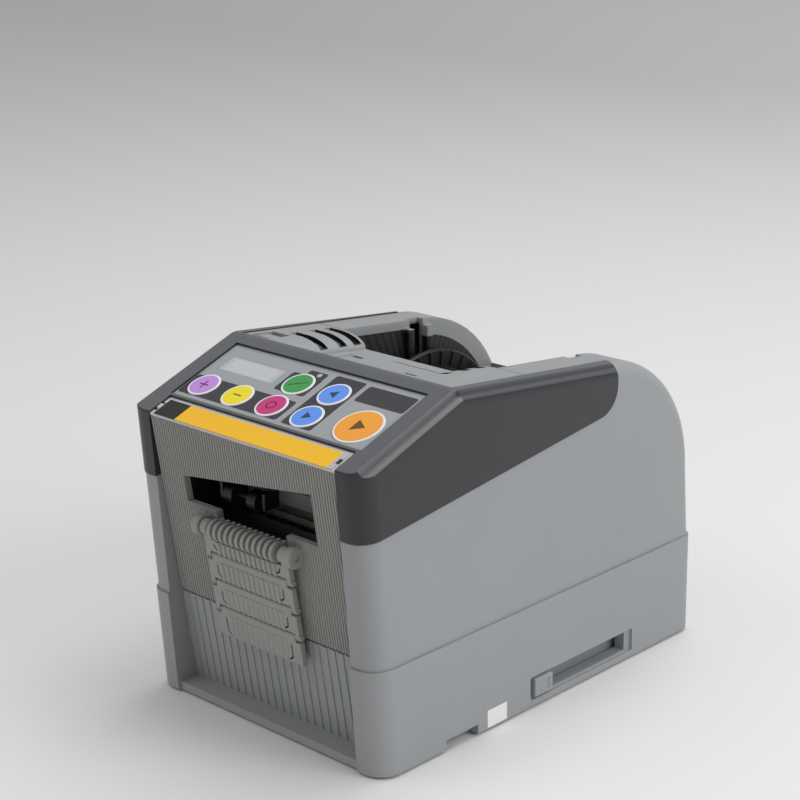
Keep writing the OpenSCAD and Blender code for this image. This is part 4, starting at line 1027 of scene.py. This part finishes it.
# Each finish by its name. After a colour come its roughness and, for some, the size of its grain
FINISHES = {
    "case_plastic": lambda name: moulded(name, palette().case, 0.46),
    "head_plastic": lambda name: moulded(name, palette().head, 0.34, edge_wear_and_highlight=0.3, change=painted_top_sheen),
    "deck_plastic": lambda name: moulded(name, palette().case, 0.46, change=painted_vent_shade),
    "bay_plastic": lambda name: moulded(name, palette().case, 0.46, edge=2.5, edge_wear_and_highlight=0, change=dark_inside),
    "finger_plastic": lambda name: moulded(name, palette().black, 0.4, change=pale_strip),
    "plate_plastic": lambda name: moulded(name, palette().plate, 0.5, edge=0.25),
    "overlay_film": overlay_film,
    "window_film": window_film,
    "lamp_lens": lambda name: moulded(
        name, linear(0.72, 0.73, 0.72), 0.2, 0.3, depth=0.002, edge=0.2, edge_wear_and_highlight=0
    ),
    "label_film": label_film,
    "black_plastic": lambda name: moulded(name, palette().black, 0.42),
    "motor_can": lambda name: metal(name, linear(0.62, 0.63, 0.64), 0.36, stretch=(1, 0.1, 1)),
    "bright_steel": lambda name: metal(name, linear(0.76, 0.77, 0.78), 0.26, stretch=(0.1, 1, 1)),
    "ballast_iron": lambda name: metal(name, linear(0.40, 0.40, 0.41), 0.55),
    "bush_brass": lambda name: metal(name, linear(0.78, 0.62, 0.32), 0.3),
    "board": lambda name: moulded(name, linear(0.09, 0.32, 0.18), 0.35),
    "gear_nylon": lambda name: moulded(name, linear(0.90, 0.90, 0.86), 0.5),
    "roller_rubber": lambda name: moulded(name, linear(0.80, 0.78, 0.70), 0.7, 0.5, depth=0.03),
    "foot_rubber": lambda name: moulded(name, linear(0.13, 0.13, 0.13), 0.75, 0.5, depth=0.03),
    "rocker_black": lambda name: moulded(name, linear(0.07, 0.07, 0.075), 0.3),
    "seat_plastic": lambda name: moulded(name, linear(0.80, 0.80, 0.80), 0.3),
    "sticker_paper": lambda name: moulded(
        name, linear(0.93, 0.93, 0.92), 0.55, 0.2, depth=0.004, edge=0.05, edge_wear_and_highlight=0
    ),
    **{f"key_{key}_film": key_film for key in KEYS},
}


def finish(name):
    """A finish by its name, made when it is first asked for."""
    return bpy.data.materials.get(f"{name}_look") or FINISHES[name](name)


# Pieces


def piece(name, solid, body, slot, replaced=(), smooth=28, material=None):
    """Finishes a solid: metres, clean faces, smooth shading, its material, and the body that it rides on."""

    def clean(bm):
        weld(bm)
        bmesh.ops.dissolve_degenerate(bm, edges=bm.edges, dist=SAME_POINT / 2)
        flatten(bm)

    solid.edit(clean)
    obj = solid.obj
    obj.name = name
    obj.data.name = name
    obj.data.transform(Matrix.Scale(MM, 4))
    obj.data.materials.clear()
    obj.data.materials.append(material or finish(slot))
    obj.data.shade_smooth()
    obj.data.set_sharp_from_angle(angle=math.radians(smooth))
    weighted = obj.modifiers.new("weighted", "WEIGHTED_NORMAL")
    weighted.keep_sharp = True
    solid.bake()
    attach(obj, body)
    if replaced:
        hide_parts(*replaced)
    return obj


def dress(node, material=None):
    """Gives a CAD node its own finish."""
    mesh = NODES[node].data
    mesh.materials.clear()
    mesh.materials.append(material or finish(SLOTS[node]))


# Operators


class DISPENSER_OT_case(Operator):
    """Build the lower and the upper shell"""

    bl_idname = "dispenser.case"
    bl_label = "Case shells"

    def execute(self, context):
        f = form()
        self.lower(f)
        self.upper(f)
        return {"FINISHED"}

    def lower(self, f):
        """The lower shell, with the ribbed kick panel between the pillars."""
        cavity = case_body(f, f.wall).keep(layer(f, f.floor_z, f.height)).cut(*cheeks(f))
        shell = case_body(f, 0).cut(cavity, front_gap(f, 0))
        shell.join(*self.kick_panel(f)).keep(layer(f, f.ground_gap, f.seam_h))
        self.slider_slot(f, shell)
        self.side_notches(f, shell)
        self.back_holes(f, shell)
        self.floor_holes(f, shell)
        outer, pillar_more, touch = 1, 0.1, 0.01

        def on_seam(co):
            outside = abs(co.x) > f.half - outer or co.y > f.rear - outer
            on_pillar = co.y < front_y(f, co.z) + f.pillar_r + pillar_more
            return abs(co.z - f.seam_h) < touch and (outside or on_pillar)

        shell.soften(f.soft_edge, on_seam)
        piece("lower_shell", shell, "chassis", "case_plastic", ["lower_case"])

    def kick_panel(self, f):
        """The panel between the pillars with its sill, and the wide ribs on it."""
        sill, sill_front, setback, tuck, rib_sunk = 5.5, 3.6, 1.2, 1, 0.5
        top, front = f.seam_h + OVER, front_y(f, 0) + setback
        outline = [
            (plate_y(f, top), top),
            (plate_y(f, sill), sill),
            (front, f.ground_gap + sill_front),
            (front, 0),
            (plate_y(f, 0) + f.wall, 0),
            (plate_y(f, top) + f.wall, top),
        ]
        panel = across(outline, -f.cheek_x - tuck, f.cheek_x + tuck)
        rib = upright(bar(f.wide_pitch * RIB_SHARE, f.rib_h), -f.height, OVER, f.plate)
        ribs = copies(rib, int(2 * f.cheek_x / f.wide_pitch), (f.wide_pitch, 0, 0))
        return panel, ribs.keep(layer(f, sill - rib_sunk, top))

    def slider_slot(self, f, shell):
        """The slider's slot in a shallow dish, through a block behind the right wall."""
        block_in, block_before, block_after, block_gap = 2, 6, 8, 0.2
        dish_deep, dish_before, dish_after, dish_beside, dish_edge = 1.4, 1, 4, 1, 0.6
        inside = node_box("side_slider")[0].x
        y0 = node_box("slider_track")[0].y + f.slot_end
        y1 = y0 + f.slot_len
        z0, z1 = f.slot_low, f.slot_top
        block_y = (y0 - block_before, y1 + block_after)
        block = slab((inside + block_in, f.half), block_y, (f.ground_gap, z1 + f.wall))
        shell.join(block.keep(case_body(f, block_gap)))
        dish_y, dish_z = (y0 - dish_before, y1 + dish_after), (z0 - dish_beside, z1 + dish_beside)
        shell.cut(
            slab((inside - PAST, f.width), (y0, y1), (z0, z1)),
            brick((f.half - dish_deep, f.width), dish_y, dish_z, dish_edge),
        )

    def side_notches(self, f, shell):
        """The notches low in the right and the left wall."""
        start, end, top = 45.6, 64.6, 5.4
        inside = f.half - f.cavity_inset - PAST
        for side in reversed(SIDES):
            shell.cut(slab(span(side, inside, f.width), (f.tip + start, f.tip + end), (-OVER, top)))

    def back_holes(self, f, shell):
        """The holes of the power jack and the power switch in the back wall."""
        jack_r, switch_half = 4.2, 7.1
        jack, switch = node_middle("power_jack"), node_middle("power_switch_body")
        place = Matrix.Translation((jack.x, f.rear, jack.z)) @ Matrix.Rotation(math.pi / 2, 4, "X")
        switch_x = (switch.x - switch_half, switch.x + switch_half)
        switch_z = (switch.z - switch_half, switch.z + switch_half)
        shell.cut(
            plug(jack_r, -OVER, OVER, place),
            slab(switch_x, (f.rear - f.wall - PAST, f.rear + OVER), switch_z),
        )

    def floor_holes(self, f, shell):
        """The holes of the feet and the stepped holes of the case screws in the floor."""
        foot_r, foot_gap, screw_r, shank_r, land, below = 5, 0.05, 2.9, 1.6, 1.5, -PAST
        foot_top = node_box("rubber_feet")[1].z
        for place in corner_places("rubber_feet", foot_r):
            shell.cut(plug(foot_r + foot_gap, below, foot_top, place))
        head_r, step = screw_r + FIT, node_box("case_screws")[0].z + land
        hole = [(0, below), (head_r, below), (head_r, step)]
        hole += [(shank_r, step), (shank_r, f.seam_h), (0, f.seam_h)]
        for place in corner_places("case_screws", screw_r):
            shell.cut(lathe(hole, place))

    def upper(self, f):
        """The upper shell, open under the head cover, at the front and over the bay."""
        cavity = case_body(f, f.cavity_inset).cut(*cheeks(f))
        shell = case_body(f, f.upper_inset).cut(cavity).keep(layer(f, f.seam_h, f.height + OVER))
        bay = slab((-f.wing_x, f.wing_x), (f.crown, f.bay_y1), (f.rim_z, f.height + OVER))
        shell.cut(head_zone(f), front_gap(f, f.cheek_deep), bay)
        piece("upper_shell", shell, "chassis", "case_plastic", ["upper_case"])


class DISPENSER_OT_head(Operator):
    """Build the head cover with its panel recess"""

    bl_idname = "dispenser.head"
    bl_label = "Head cover"

    def execute(self, context):
        f = form()
        wide, seat_end = (-f.width, f.width), f.label_v + FIT
        web = slab(wide, (seat_end, f.panel_len + OVER), (f.overlay_low - f.web, OVER), f.panel)
        cavity = case_body(f, f.cavity_inset).cut(web, *cheeks(f))
        shell = case_body(f, f.head_inset, f.bead).cut(cavity).keep(head_zone(f))
        shell.cut(front_gap(f, f.cheek_deep), *self.recesses(f, seat_end))
        hole_deep = 9
        for node in ("status_lamp", *(f"button_{key}" for key in KEYS)):
            place, radius, _, _ = on_panel(f, node)
            shell.cut(plug(radius + FIT, -hole_deep, 0, place))
        piece("head_shell", shell, "chassis", "head_plastic", ["head_cover"])
        return {"FINISHED"}

    def recesses(self, f, seat_end):
        """Cutters for the label's seat, the overlay's recess and the display's opening."""
        window_in, window_v = 1.5, (37.7, 44.6)
        seat = slab((-f.cheek_x, f.cheek_x), (-OVER, seat_end), CLEAR, f.panel)
        edge = f.overlay_half + FIT
        recess = slab((-edge, edge), (f.overlay_v0 - FIT, f.overlay_v1 + FIT), (f.overlay_low, OVER), f.panel)
        low, high = (f.panel.inverted() @ corner for corner in node_box("display_window"))
        window = slab((low.x + window_in, high.x - window_in), window_v, CLEAR, f.panel)
        return seat, recess, window


class DISPENSER_OT_keys(Operator):
    """Build the key caps and the lamp, and print the films"""

    bl_idname = "dispenser.keys"
    bl_label = "Keys and films"

    def execute(self, context):
        f = form()
        for key in KEYS:
            place, skirt, low, high = on_panel(f, f"button_{key}")
            cap = lathe(self.cap(skirt, low, high), place, steps=72)
            piece(f"key_cap_{key}", cap, f"key_{key}", f"key_{key}_film", [f"button_{key}"], smooth=50)
        place, skirt, low, high = on_panel(f, "status_lamp")
        dome = lathe(self.dome(skirt, low, high), place, steps=36)
        piece("lamp_dome", dome, "chassis", "lamp_lens", ["status_lamp"], smooth=60)
        for node in FILM_NODES:
            dress(node)
        return {"FINISHED"}

    def cap(self, skirt, low, high):
        """Profile of a key: a skirt below the panel, and a cap with a rounded rim and a slight crown."""
        skirt_h, flat_share, crown = 1.5, 0.6, 0.1
        # Points of the rounded rim: how far in from the cap's radius, and down from its top
        rim = [(0, 0.35), (0.12, 0.14), (0.4, 0.04)]
        radius, ledge = skirt - KEY_STEP, low + skirt_h
        profile = [(0, low), (skirt, low), (skirt, ledge), (radius, ledge)]
        profile += [(radius - inward, high - down) for inward, down in rim]
        return profile + [(radius * flat_share, high), (0, high + crown)]

    def dome(self, skirt, low, high):
        """Profile of the lamp: a skirt below the panel, and a low dome."""
        skirt_h, step = 1, 0.4
        # Shares of the dome's radius, and heights over the node's top
        curve = [(1, -0.2), (0.8, 0.1), (0.4, 0.25), (0, 0.3)]
        radius, ledge = skirt - step, low + skirt_h
        profile = [(0, low), (skirt, low), (skirt, ledge), (radius, ledge)]
        return profile + [(radius * share, high + up) for share, up in curve]


class DISPENSER_OT_front(Operator):
    """Build the ribbed front panel with its outlet, comb and ears"""

    bl_idname = "dispenser.front"
    bl_label = "Front panel"

    def execute(self, context):
        f = form()
        half, level = f.cheek_x - FIT, f.overlay_top - f.seat_t
        panel = self.plate(f, half, level).cut(self.outlet(f))
        self.carriers(f, panel)
        piece("front_panel", panel, "chassis", "plate_plastic", ["front_plate"])
        self.seat(f, half, level)
        return {"FINISHED"}

    def plate(self, f, half, level):
        """The plate with its fine ribs, and a ledge for the label's seat at its top."""
        seam_gap, ledge_t, ledge_in = 0.8, 2, 0.05
        wide = (-f.width, f.width)
        panel = slab((-half, half), (0, f.plate_t), (-f.height, OVER), f.plate)
        rib = upright(bar(f.fine_pitch * RIB_SHARE, f.rib_h), -f.height, OVER, f.plate)
        panel.join(copies(rib, int(2 * half / f.fine_pitch), (f.fine_pitch, 0, 0), slot="plate_plastic"))
        panel.keep(
            slab(wide, (-OVER, 2 * OVER), (-f.height, level), f.panel),
            layer(f, f.seam_h + seam_gap, f.height),
        )
        ledge = slab((-half, half), (-OVER, f.label_v), (f.overlay_top - ledge_t, level), f.panel)
        return panel.join(ledge.keep(slab(wide, (ledge_in, OVER), CLEAR, f.plate)))

    def outlet(self, f):
        """Cutter for the outlet, with its slanting top and the comb's notch in its sill."""
        outline = [
            (-f.outlet_half, f.outlet_low),
            (-f.outlet_half, f.outlet_left),
            (f.outlet_half, f.outlet_right),
            (f.outlet_half, f.outlet_low),
            (f.notch_half, f.outlet_low),
            (f.notch_half, f.notch_z),
            (-f.notch_half, f.notch_z),
            (-f.notch_half, f.outlet_low),
        ]
        return through(outline, f.tip - OVER, f.tip + OVER)

    def carriers(self, f, panel):
        """Joins the comb and the two ears that carry the guard to the panel."""
        fin_edge, ear_edge = 0.2, 0.6
        fin = self.lug(f, f.comb_pitch * FIN_SHARE, 0).soften(fin_edge, segments=2)
        panel.join(copies(fin, f.comb_fins, (f.comb_pitch, 0, 0), slot="plate_plastic"))
        for side in SIDES:
            ear = self.lug(f, f.ear_w, side * (f.link_half + SIDE_FIT + f.ear_w / 2)).soften(ear_edge)
            panel.join(ear.cut(rod(f.hinge_pin_r + PIN_FIT, -f.half, f.half, f.hinges[0])))

    def lug(self, f, width, x):
        """A round lug about the first hinge with a neck into the plate."""
        shoulder_down, root_in = 1.2, 0.5
        shoulder, root = f.guard_r - shoulder_down, f.hinge_off + root_in
        outline = arc((0, 0), f.guard_r, math.asin(shoulder / f.guard_r), 1.5 * math.pi, steps=26)
        neck = [Vector((root, -f.guard_r)), Vector((root, shoulder))]
        return across(outline + neck, x - width / 2, x + width / 2, f.hinges[0])

    def seat(self, f, half, level):
        """The pale seat under the label, with clip tabs at its two ends."""
        proud, slots, slot_deep = 0.35, ((3.2, 4.4), (7.6, 8.8)), 1.3
        tab_v, tab_deep, tab_h, tab_edge = (4.6, 7.4), 1.2, 0.5, 0.2
        seat = slab((-half, half), (-OVER, f.label_v), (level, f.overlay_top), f.panel)
        seat.keep(slab((-f.width, f.width), (-proud, OVER), CLEAR, f.plate))
        for side in SIDES:
            slot, tab = span(side, half - slot_deep, half + PAST), span(side, half - tab_deep, half)
            seat.cut(*(slab(slot, v, CLEAR, f.panel) for v in slots))
            seat.join(brick(tab, tab_v, (level, f.overlay_top + tab_h), tab_edge, f.panel))
        piece("label_seat", seat, "chassis", "seat_plastic")


class DISPENSER_OT_guard(Operator):
    """Build the four hinged links of the front guard"""

    bl_idname = "dispenser.guard"
    bl_label = "Guard links"

    # How much thinner a neck is than the barrel that it carries
    neck_in = 0.1

    def execute(self, context):
        f = form()
        for k, rib_h in enumerate(LINK_RIB_H, 1):
            link = self.link(f, k, rib_h)
            piece(f"guard_plate_{k}", link, f"guard_{k}", "plate_plastic", [f"guard_link_{k}"])
        return {"FINISHED"}

    def link(self, f, k, rib_h):
        """A ribbed plate with two slits, what hangs it above and what carries the next link below."""
        drop, edge, slit_in = 0.5, 0.3, 1.5
        place, first, last = f.hinges[k - 1], k == 1, k == len(LINK_RIB_H)
        top = -f.guard_r - drop if first else -f.link_gap
        low = -f.link_pitch + (0 if last else f.link_gap)
        thick = (-f.knuckle_r, f.knuckle_r)
        link = brick((-f.link_half, f.link_half), thick, (low, top), edge, place)
        pitch, face = 2 * f.fine_pitch, place @ Matrix.Translation((0, -f.knuckle_r, 0))
        rib = upright(bar(pitch * FIN_SHARE, rib_h), low, top, face)
        link.join(copies(rib, f.link_ribs, (pitch, 0, 0), slot="plate_plastic"))
        for side in SIDES:
            link.cut(through(self.slit(f, side, top - slit_in, low + slit_in), *CLEAR, place))
        if first:
            self.hangers(f, link, place)
        else:
            self.knuckle(f, link, place)
        if not last:
            self.ears(f, link, place @ Matrix.Translation((0, 0, -f.link_pitch)))
        return link

    def hangers(self, f, link, place):
        """Joins the eyes and pins that hang the first link to it."""
        lap, eye_in, eye_edge, pin_in = 1.5, 1, 0.5, 1
        for side in SIDES:
            eye = span(side, f.link_half - f.hanger_w, f.link_half)
            pin = span(side, f.link_half - pin_in, f.link_half + f.ear_w)
            link.join(
                slab(eye, (-f.knuckle_r, f.knuckle_r), (-f.guard_r - lap, 0), place),
                rod(f.guard_r - eye_in, *eye, place, eye_edge),
                rod(f.hinge_pin_r, *pin, place),
            )

    def knuckle(self, f, link, place):
        """Joins the barrel and the pin at a link's upper edge to it."""
        lap, inner = 0.5, f.link_half - f.link_ear - SIDE_FIT
        neck_x, neck = inner - self.neck_in, f.knuckle_r - self.neck_in
        link.join(
            rod(f.knuckle_r, -inner, inner, place),
            slab((-neck_x, neck_x), (-neck, neck), (-f.link_gap - lap, 0), place),
            rod(f.link_pin_r, -f.link_half, f.link_half, place),
        )

    def ears(self, f, link, place):
        """Joins the ears at a link's lower edge to it, and bores them for the next link's pin."""
        lap, boss, bore_edge = 0.4, 0.6, 0.01
        neck, inner, end = f.knuckle_r - self.neck_in, f.link_half - f.link_ear, f.link_half + PIN_FIT
        for side in SIDES:
            ear = rod(f.knuckle_r, *span(side, inner, f.link_half + boss), place)
            ear.join(slab(span(side, inner, f.link_half), (-neck, neck), (0, f.link_t + lap), place))
            link.join(ear)
        link.cut(rod(f.link_pin_r + PIN_FIT, -end, end, place, bore_edge))

    def slit(self, f, side, top, low):
        """Outline of a slit that ends in a hook towards the middle."""
        middle, w = (f.slit_x - f.slit_r, low + f.slit_r), f.slit_w / 2
        outline = [Vector((f.slit_x + w, top)), *arc(middle, f.slit_r + w, 0, -math.pi / 2, steps=8)]
        outline += [*arc(middle, f.slit_r - w, -math.pi / 2, 0, steps=8), Vector((f.slit_x - w, top))]
        return [(side * p.x, p.y) for p in outline]


class DISPENSER_OT_deck(Operator):
    """Build the deck behind the panel and the reel in its bay"""

    bl_idname = "dispenser.deck"
    bl_label = "Deck and reel"

    def execute(self, context):
        f = form()
        deck = self.cover(f)
        self.vents(f, deck)
        self.details(f, deck)
        look = finish("deck_plastic")
        piece("deck_cover", deck, "chassis", "case_plastic", ["deck_plate"], smooth=40, material=look)
        self.reel(f)
        dress("tape_bay", finish("bay_plastic"))
        return {"FINISHED"}

    def cover(self, f):
        """A lowered floor between rounded flanks that reach the wall tops."""
        half = f.wing_x - FIT
        upper = [(half, -f.upper_inset), *self.flank(f, 0)]
        under = [(half, -f.upper_inset - f.deck_t), *self.flank(f, f.deck_t)]
        under.append((f.deck_half + f.deck_t, f.deck_top - f.deck_t))
        left = [(-x, z) for x, z in upper[::-1] + under]
        return through(upper + left + under[::-1], f.deck_v0 + FIT, f.deck_v1, f.top)

    def flank(self, f, thick):
        """Points of a rounded flank from the wall top down to the floor."""
        a, b, steps = f.crest_x - f.deck_half - thick, f.deck_drop - thick, 20
        turns = [math.pi / 2 * k / steps for k in range(steps + 1)]
        return [(f.crest_x - a * math.sin(t), f.deck_top + b * math.cos(t)) for t in turns]

    def vents(self, f, deck):
        """Cuts the vents into both flanks."""
        off_floor, sill = 1.5, 1.1
        left = (-f.crest_x - LEFT_VENT_OUT, -f.deck_half - off_floor)
        right = (f.deck_half + off_floor, f.crest_x - RIGHT_VENT_IN)
        for v in VENTS:
            for x in (left, right):
                deck.cut(slab(x, (v - f.vent_w / 2, v + f.vent_w / 2), (f.deck_top + sill, OVER), f.top))

    def details(self, f, deck):
        """The groove, openings and pad in the floor, and the pocket and block in the left wall top."""
        # Limits across and along the slope
        groove = ((-6, 27), (38.6, 39.4))
        openings = (((12.7, 19.3), (25.7, 27.3)), ((-23, -17), (30, 33)))
        pad, pocket, block = ((-29, -24), (18, 34)), ((-57.5, -46.5), (4, 17)), ((-59.5, -49), (8.5, 15))
        groove_deep, pad_sunk, pad_h, pad_edge = 0.8, 0.5, 0.7, 0.3
        block_levels, block_edge = (-7, -1.9), 0.5
        deck.cut(
            slab(*groove, (f.deck_top - groove_deep, OVER), f.top),
            *(slab(*limits, CLEAR, f.top) for limits in openings),
        )
        deck.join(brick(*pad, (f.deck_top - pad_sunk, f.deck_top + pad_h), pad_edge, f.top))
        deck.cut(slab(*pocket, CLEAR, f.top))
        deck.join(brick(*block, block_levels, block_edge, f.top))

    def reel(self, f):
        """The reel: a ribbed flange and a hollow drum with a hub."""
        bore, steps = 4.05, 96
        thick, chamfer = 3, 0.8
        rib_sunk, rib_h, rib_half, rib_in = 0.5, 0.8, 0.6, 1
        wall, hub, drum_edge = 3, 8, 0.6
        middle = Vector(JOINTS["reel_spin"]["pos_m"]) / MM
        place = Matrix.Translation((0, middle.y, middle.z)) @ Matrix.Rotation(math.pi / 2, 4, "Y")
        low, high = node_box("reel_flange")
        drum_low, drum_high = node_box("reel_drum")
        radius, drum_r = (high.z - low.z) / 2, (drum_high.z - drum_low.z) / 2
        x0, x1 = low.x, low.x + thick
        rim = [(radius - chamfer, x0), (radius, x0 + chamfer), (radius, x1 - chamfer), (radius - chamfer, x1)]
        flange = lathe([(bore, x0), *rim, (bore, x1), (bore, x0)], place, steps).edit(weld)
        rib = slab((x1 - rib_sunk, x1 + rib_h), (-rib_half, rib_half), (drum_r + rib_in, radius - rib_in))
        axis, turn = middle * Vector((0, 1, 1)), 2 * math.pi / f.flange_ribs
        flange.join(copies(rib, f.flange_ribs, start=axis, turn=turn, slot="black_plastic"))
        piece("reel_disc", flange, "reel", "black_plastic", ["reel_flange"], smooth=30)
        x0, x1, inner_r = drum_low.x, drum_high.x, drum_r - wall
        cup = [(bore, x0), (drum_r, x0), (drum_r, x1 - drum_edge), (drum_r - drum_edge, x1), (inner_r, x1)]
        cup += [(inner_r, x0 + wall), (hub, x0 + wall), (hub, x1), (bore, x1), (bore, x0)]
        piece("reel_core", lathe(cup, place, steps), "reel", "black_plastic", ["reel_drum"], smooth=30)


class DISPENSER_OT_fittings(Operator):
    """Build the slider's knob and the bare sticker"""

    bl_idname = "dispenser.fittings"
    bl_label = "Side fittings"

    def execute(self, context):
        f = form()
        self.knob(f)
        self.sticker(f)
        return {"FINISHED"}

    def knob(self, f):
        """The slider's knob: a stem with a shallow dish in its face, on a base inside the wall."""
        proud, gap, shoulder, base_t, edge = 1.2, 0.9, 2.2, 1.9, 0.8
        dish_deep, dish_y, dish_z, dish_edge = 0.4, 2.6, 1.8, 0.3
        low, high = node_box("side_slider")
        face, y0, y1 = high.x + proud, low.y + shoulder + gap, high.y - shoulder
        z0, z1 = f.slot_low, f.slot_top
        knob = brick((low.x, face), (y0, y1), (z0 + FIT, z1 - FIT), edge)
        knob.join(slab((low.x, low.x + base_t), (low.y, high.y), (low.z, high.z)))
        dish = ((face - dish_deep, face + PAST), (y0 + dish_y, y1 - dish_y), (z0 + dish_z, z1 - dish_z))
        knob.cut(brick(*dish, dish_edge))
        piece("slider_knob", knob, "slider", "case_plastic", ["side_slider"])

    def sticker(self, f):
        """The bare sticker behind the right wall's notch."""
        sunk, proud, edge = 0.3, 0.08, 0.05
        along, levels = (-35, -23), (1.6, 9.4)
        sticker = brick((f.half - sunk, f.half + proud), along, levels, edge)
        piece("bare_sticker", sticker, "chassis", "sticker_paper")


class DISPENSER_OT_mechanism(Operator):
    """Give the working parts their finishes"""

    bl_idname = "dispenser.mechanism"
    bl_label = "Working parts"

    def execute(self, context):
        for node, obj in NODES.items():
            if not obj.hide_render and node not in (*FILM_NODES, "tape_bay"):
                dress(node)
        dress("blade_guard", finish("finger_plastic"))
        dress("slider_track", finish("case_plastic"))
        return {"FINISHED"}


class DISPENSER_OT_stage(Operator):
    """Set up the floor, the light and the camera"""

    bl_idname = "dispenser.stage"
    bl_label = "Stage"

    def execute(self, context):
        scene = context.scene
        scene.view_settings.view_transform = "Standard"
        self.floor(scene)
        self.world(scene)
        self.lamp(scene, "key_light", (-0.6, -0.9, 1.3), size=1.0, power=2.6)
        self.lamp(scene, "side_light", (1.3, 0.3, 0.9), size=0.9, power=8.5)
        self.lamp(scene, "top_light", (0.1, 0.5, 1.5), size=1.2, power=10)
        self.camera(scene)
        return {"FINISHED"}

    def floor(self, scene):
        """The pale floor, which bends up into the backdrop."""
        # In metres
        half_wide, side_view = 6, [(-6, 0), (1.5, 0), (1.9, 0.1), (2.1, 0.4), (2.15, 3)]
        cloud_size, dark, roughness = 120, 0.99, 0.5
        made, shader, coords = blank("floor_paint")
        colour = palette().floor
        put(coords.noise(cloud_size).mixed(shade(colour, dark), shade(colour)), shader, "Base Color")
        shader.inputs["Roughness"].default_value = roughness
        bm = bmesh.new()
        left, right = ([bm.verts.new((x, y, z)) for y, z in side_view] for x in (-half_wide, half_wide))
        for k in range(len(side_view) - 1):
            bm.faces.new((left[k], right[k], right[k + 1], left[k + 1]))
        mesh = bpy.data.meshes.new("floor")
        bm.to_mesh(mesh)
        bm.free()
        mesh.materials.append(made)
        mesh.shade_smooth()
        floor = bpy.data.objects.new("floor", mesh)
        scene.collection.objects.link(floor)

    def world(self, scene):
        """Even white light from all round."""
        world = bpy.data.worlds.new("studio")
        world.use_nodes = True
        scene.world = world
        background = world.node_tree.nodes["Background"]
        background.inputs["Color"].default_value = (1, 1, 1, 1)
        background.inputs["Strength"].default_value = 0.42

    def lamp(self, scene, name, place, size, power):
        """A round soft lamp that points at the machine."""
        target = Vector((0, 0, 0.08))
        light = bpy.data.lights.new(name, "AREA")
        light.shape = "DISK"
        light.size = size
        light.energy = power
        obj = bpy.data.objects.new(name, light)
        obj.location = place
        obj.rotation_euler = (target - Vector(place)).to_track_quat("-Z", "Y").to_euler()
        scene.collection.objects.link(obj)

    def camera(self, scene):
        """The camera at the photograph's angle, in metres and degrees."""
        place = (0.5544, -0.58305, 0.3732)
        turn, rise, roll = (math.radians(a) for a in (44.219, 17.433, -0.864))
        data = bpy.data.cameras.new("camera")
        data.sensor_width = 36
        data.lens = 88.67
        data.clip_start, data.clip_end = 0.05, 50
        right = Vector((math.cos(turn), math.sin(turn), 0))
        back = Vector((math.sin(turn) * math.cos(rise), -math.cos(turn) * math.cos(rise), math.sin(rise)))
        up = back.cross(right)
        c, s = math.cos(roll), math.sin(roll)
        axes = Matrix([right * c + up * s, up * c - right * s, back]).transposed()
        camera = bpy.data.objects.new("camera", data)
        camera.matrix_world = Matrix.Translation(place) @ axes.to_4x4()
        scene.collection.objects.link(camera)
        scene.camera = camera


# Add-on

OPERATORS = [
    DISPENSER_OT_case,
    DISPENSER_OT_head,
    DISPENSER_OT_keys,
    DISPENSER_OT_front,
    DISPENSER_OT_guard,
    DISPENSER_OT_deck,
    DISPENSER_OT_fittings,
    DISPENSER_OT_mechanism,
    DISPENSER_OT_stage,
]
GROUPS = {
    "dispenser_case": CaseSizes,
    "dispenser_head": HeadSizes,
    "dispenser_deck": DeckSizes,
    "dispenser_front": FrontSizes,
    "dispenser_guard": GuardSizes,
    "dispenser_colours": Colours,
}


class DISPENSER_PT_pieces(Panel):
    """Sizes, colours and pieces of the dispenser"""

    bl_label = "Tape dispenser"
    bl_space_type = "VIEW_3D"
    bl_region_type = "UI"
    bl_category = "Dispenser"

    def draw(self, context):
        for operator in OPERATORS:
            self.layout.operator(operator.bl_idname)
        for name, group in GROUPS.items():
            box = self.layout.box()
            for prop in group.__annotations__:
                box.prop(getattr(context.scene, name), prop)


def register():
    for cls in (*GROUPS.values(), *OPERATORS, DISPENSER_PT_pieces):
        bpy.utils.register_class(cls)
    for name, group in GROUPS.items():
        setattr(bpy.types.Scene, name, PointerProperty(type=group))


def unregister():
    for name in GROUPS:
        delattr(bpy.types.Scene, name)
    for cls in (DISPENSER_PT_pieces, *reversed(OPERATORS), *reversed(GROUPS.values())):
        bpy.utils.unregister_class(cls)


def main():
    register()
    for operator in OPERATORS:
        group, name = operator.bl_idname.split(".")
        getattr(getattr(bpy.ops, group), name)()


if __name__ == "__main__":
    main()
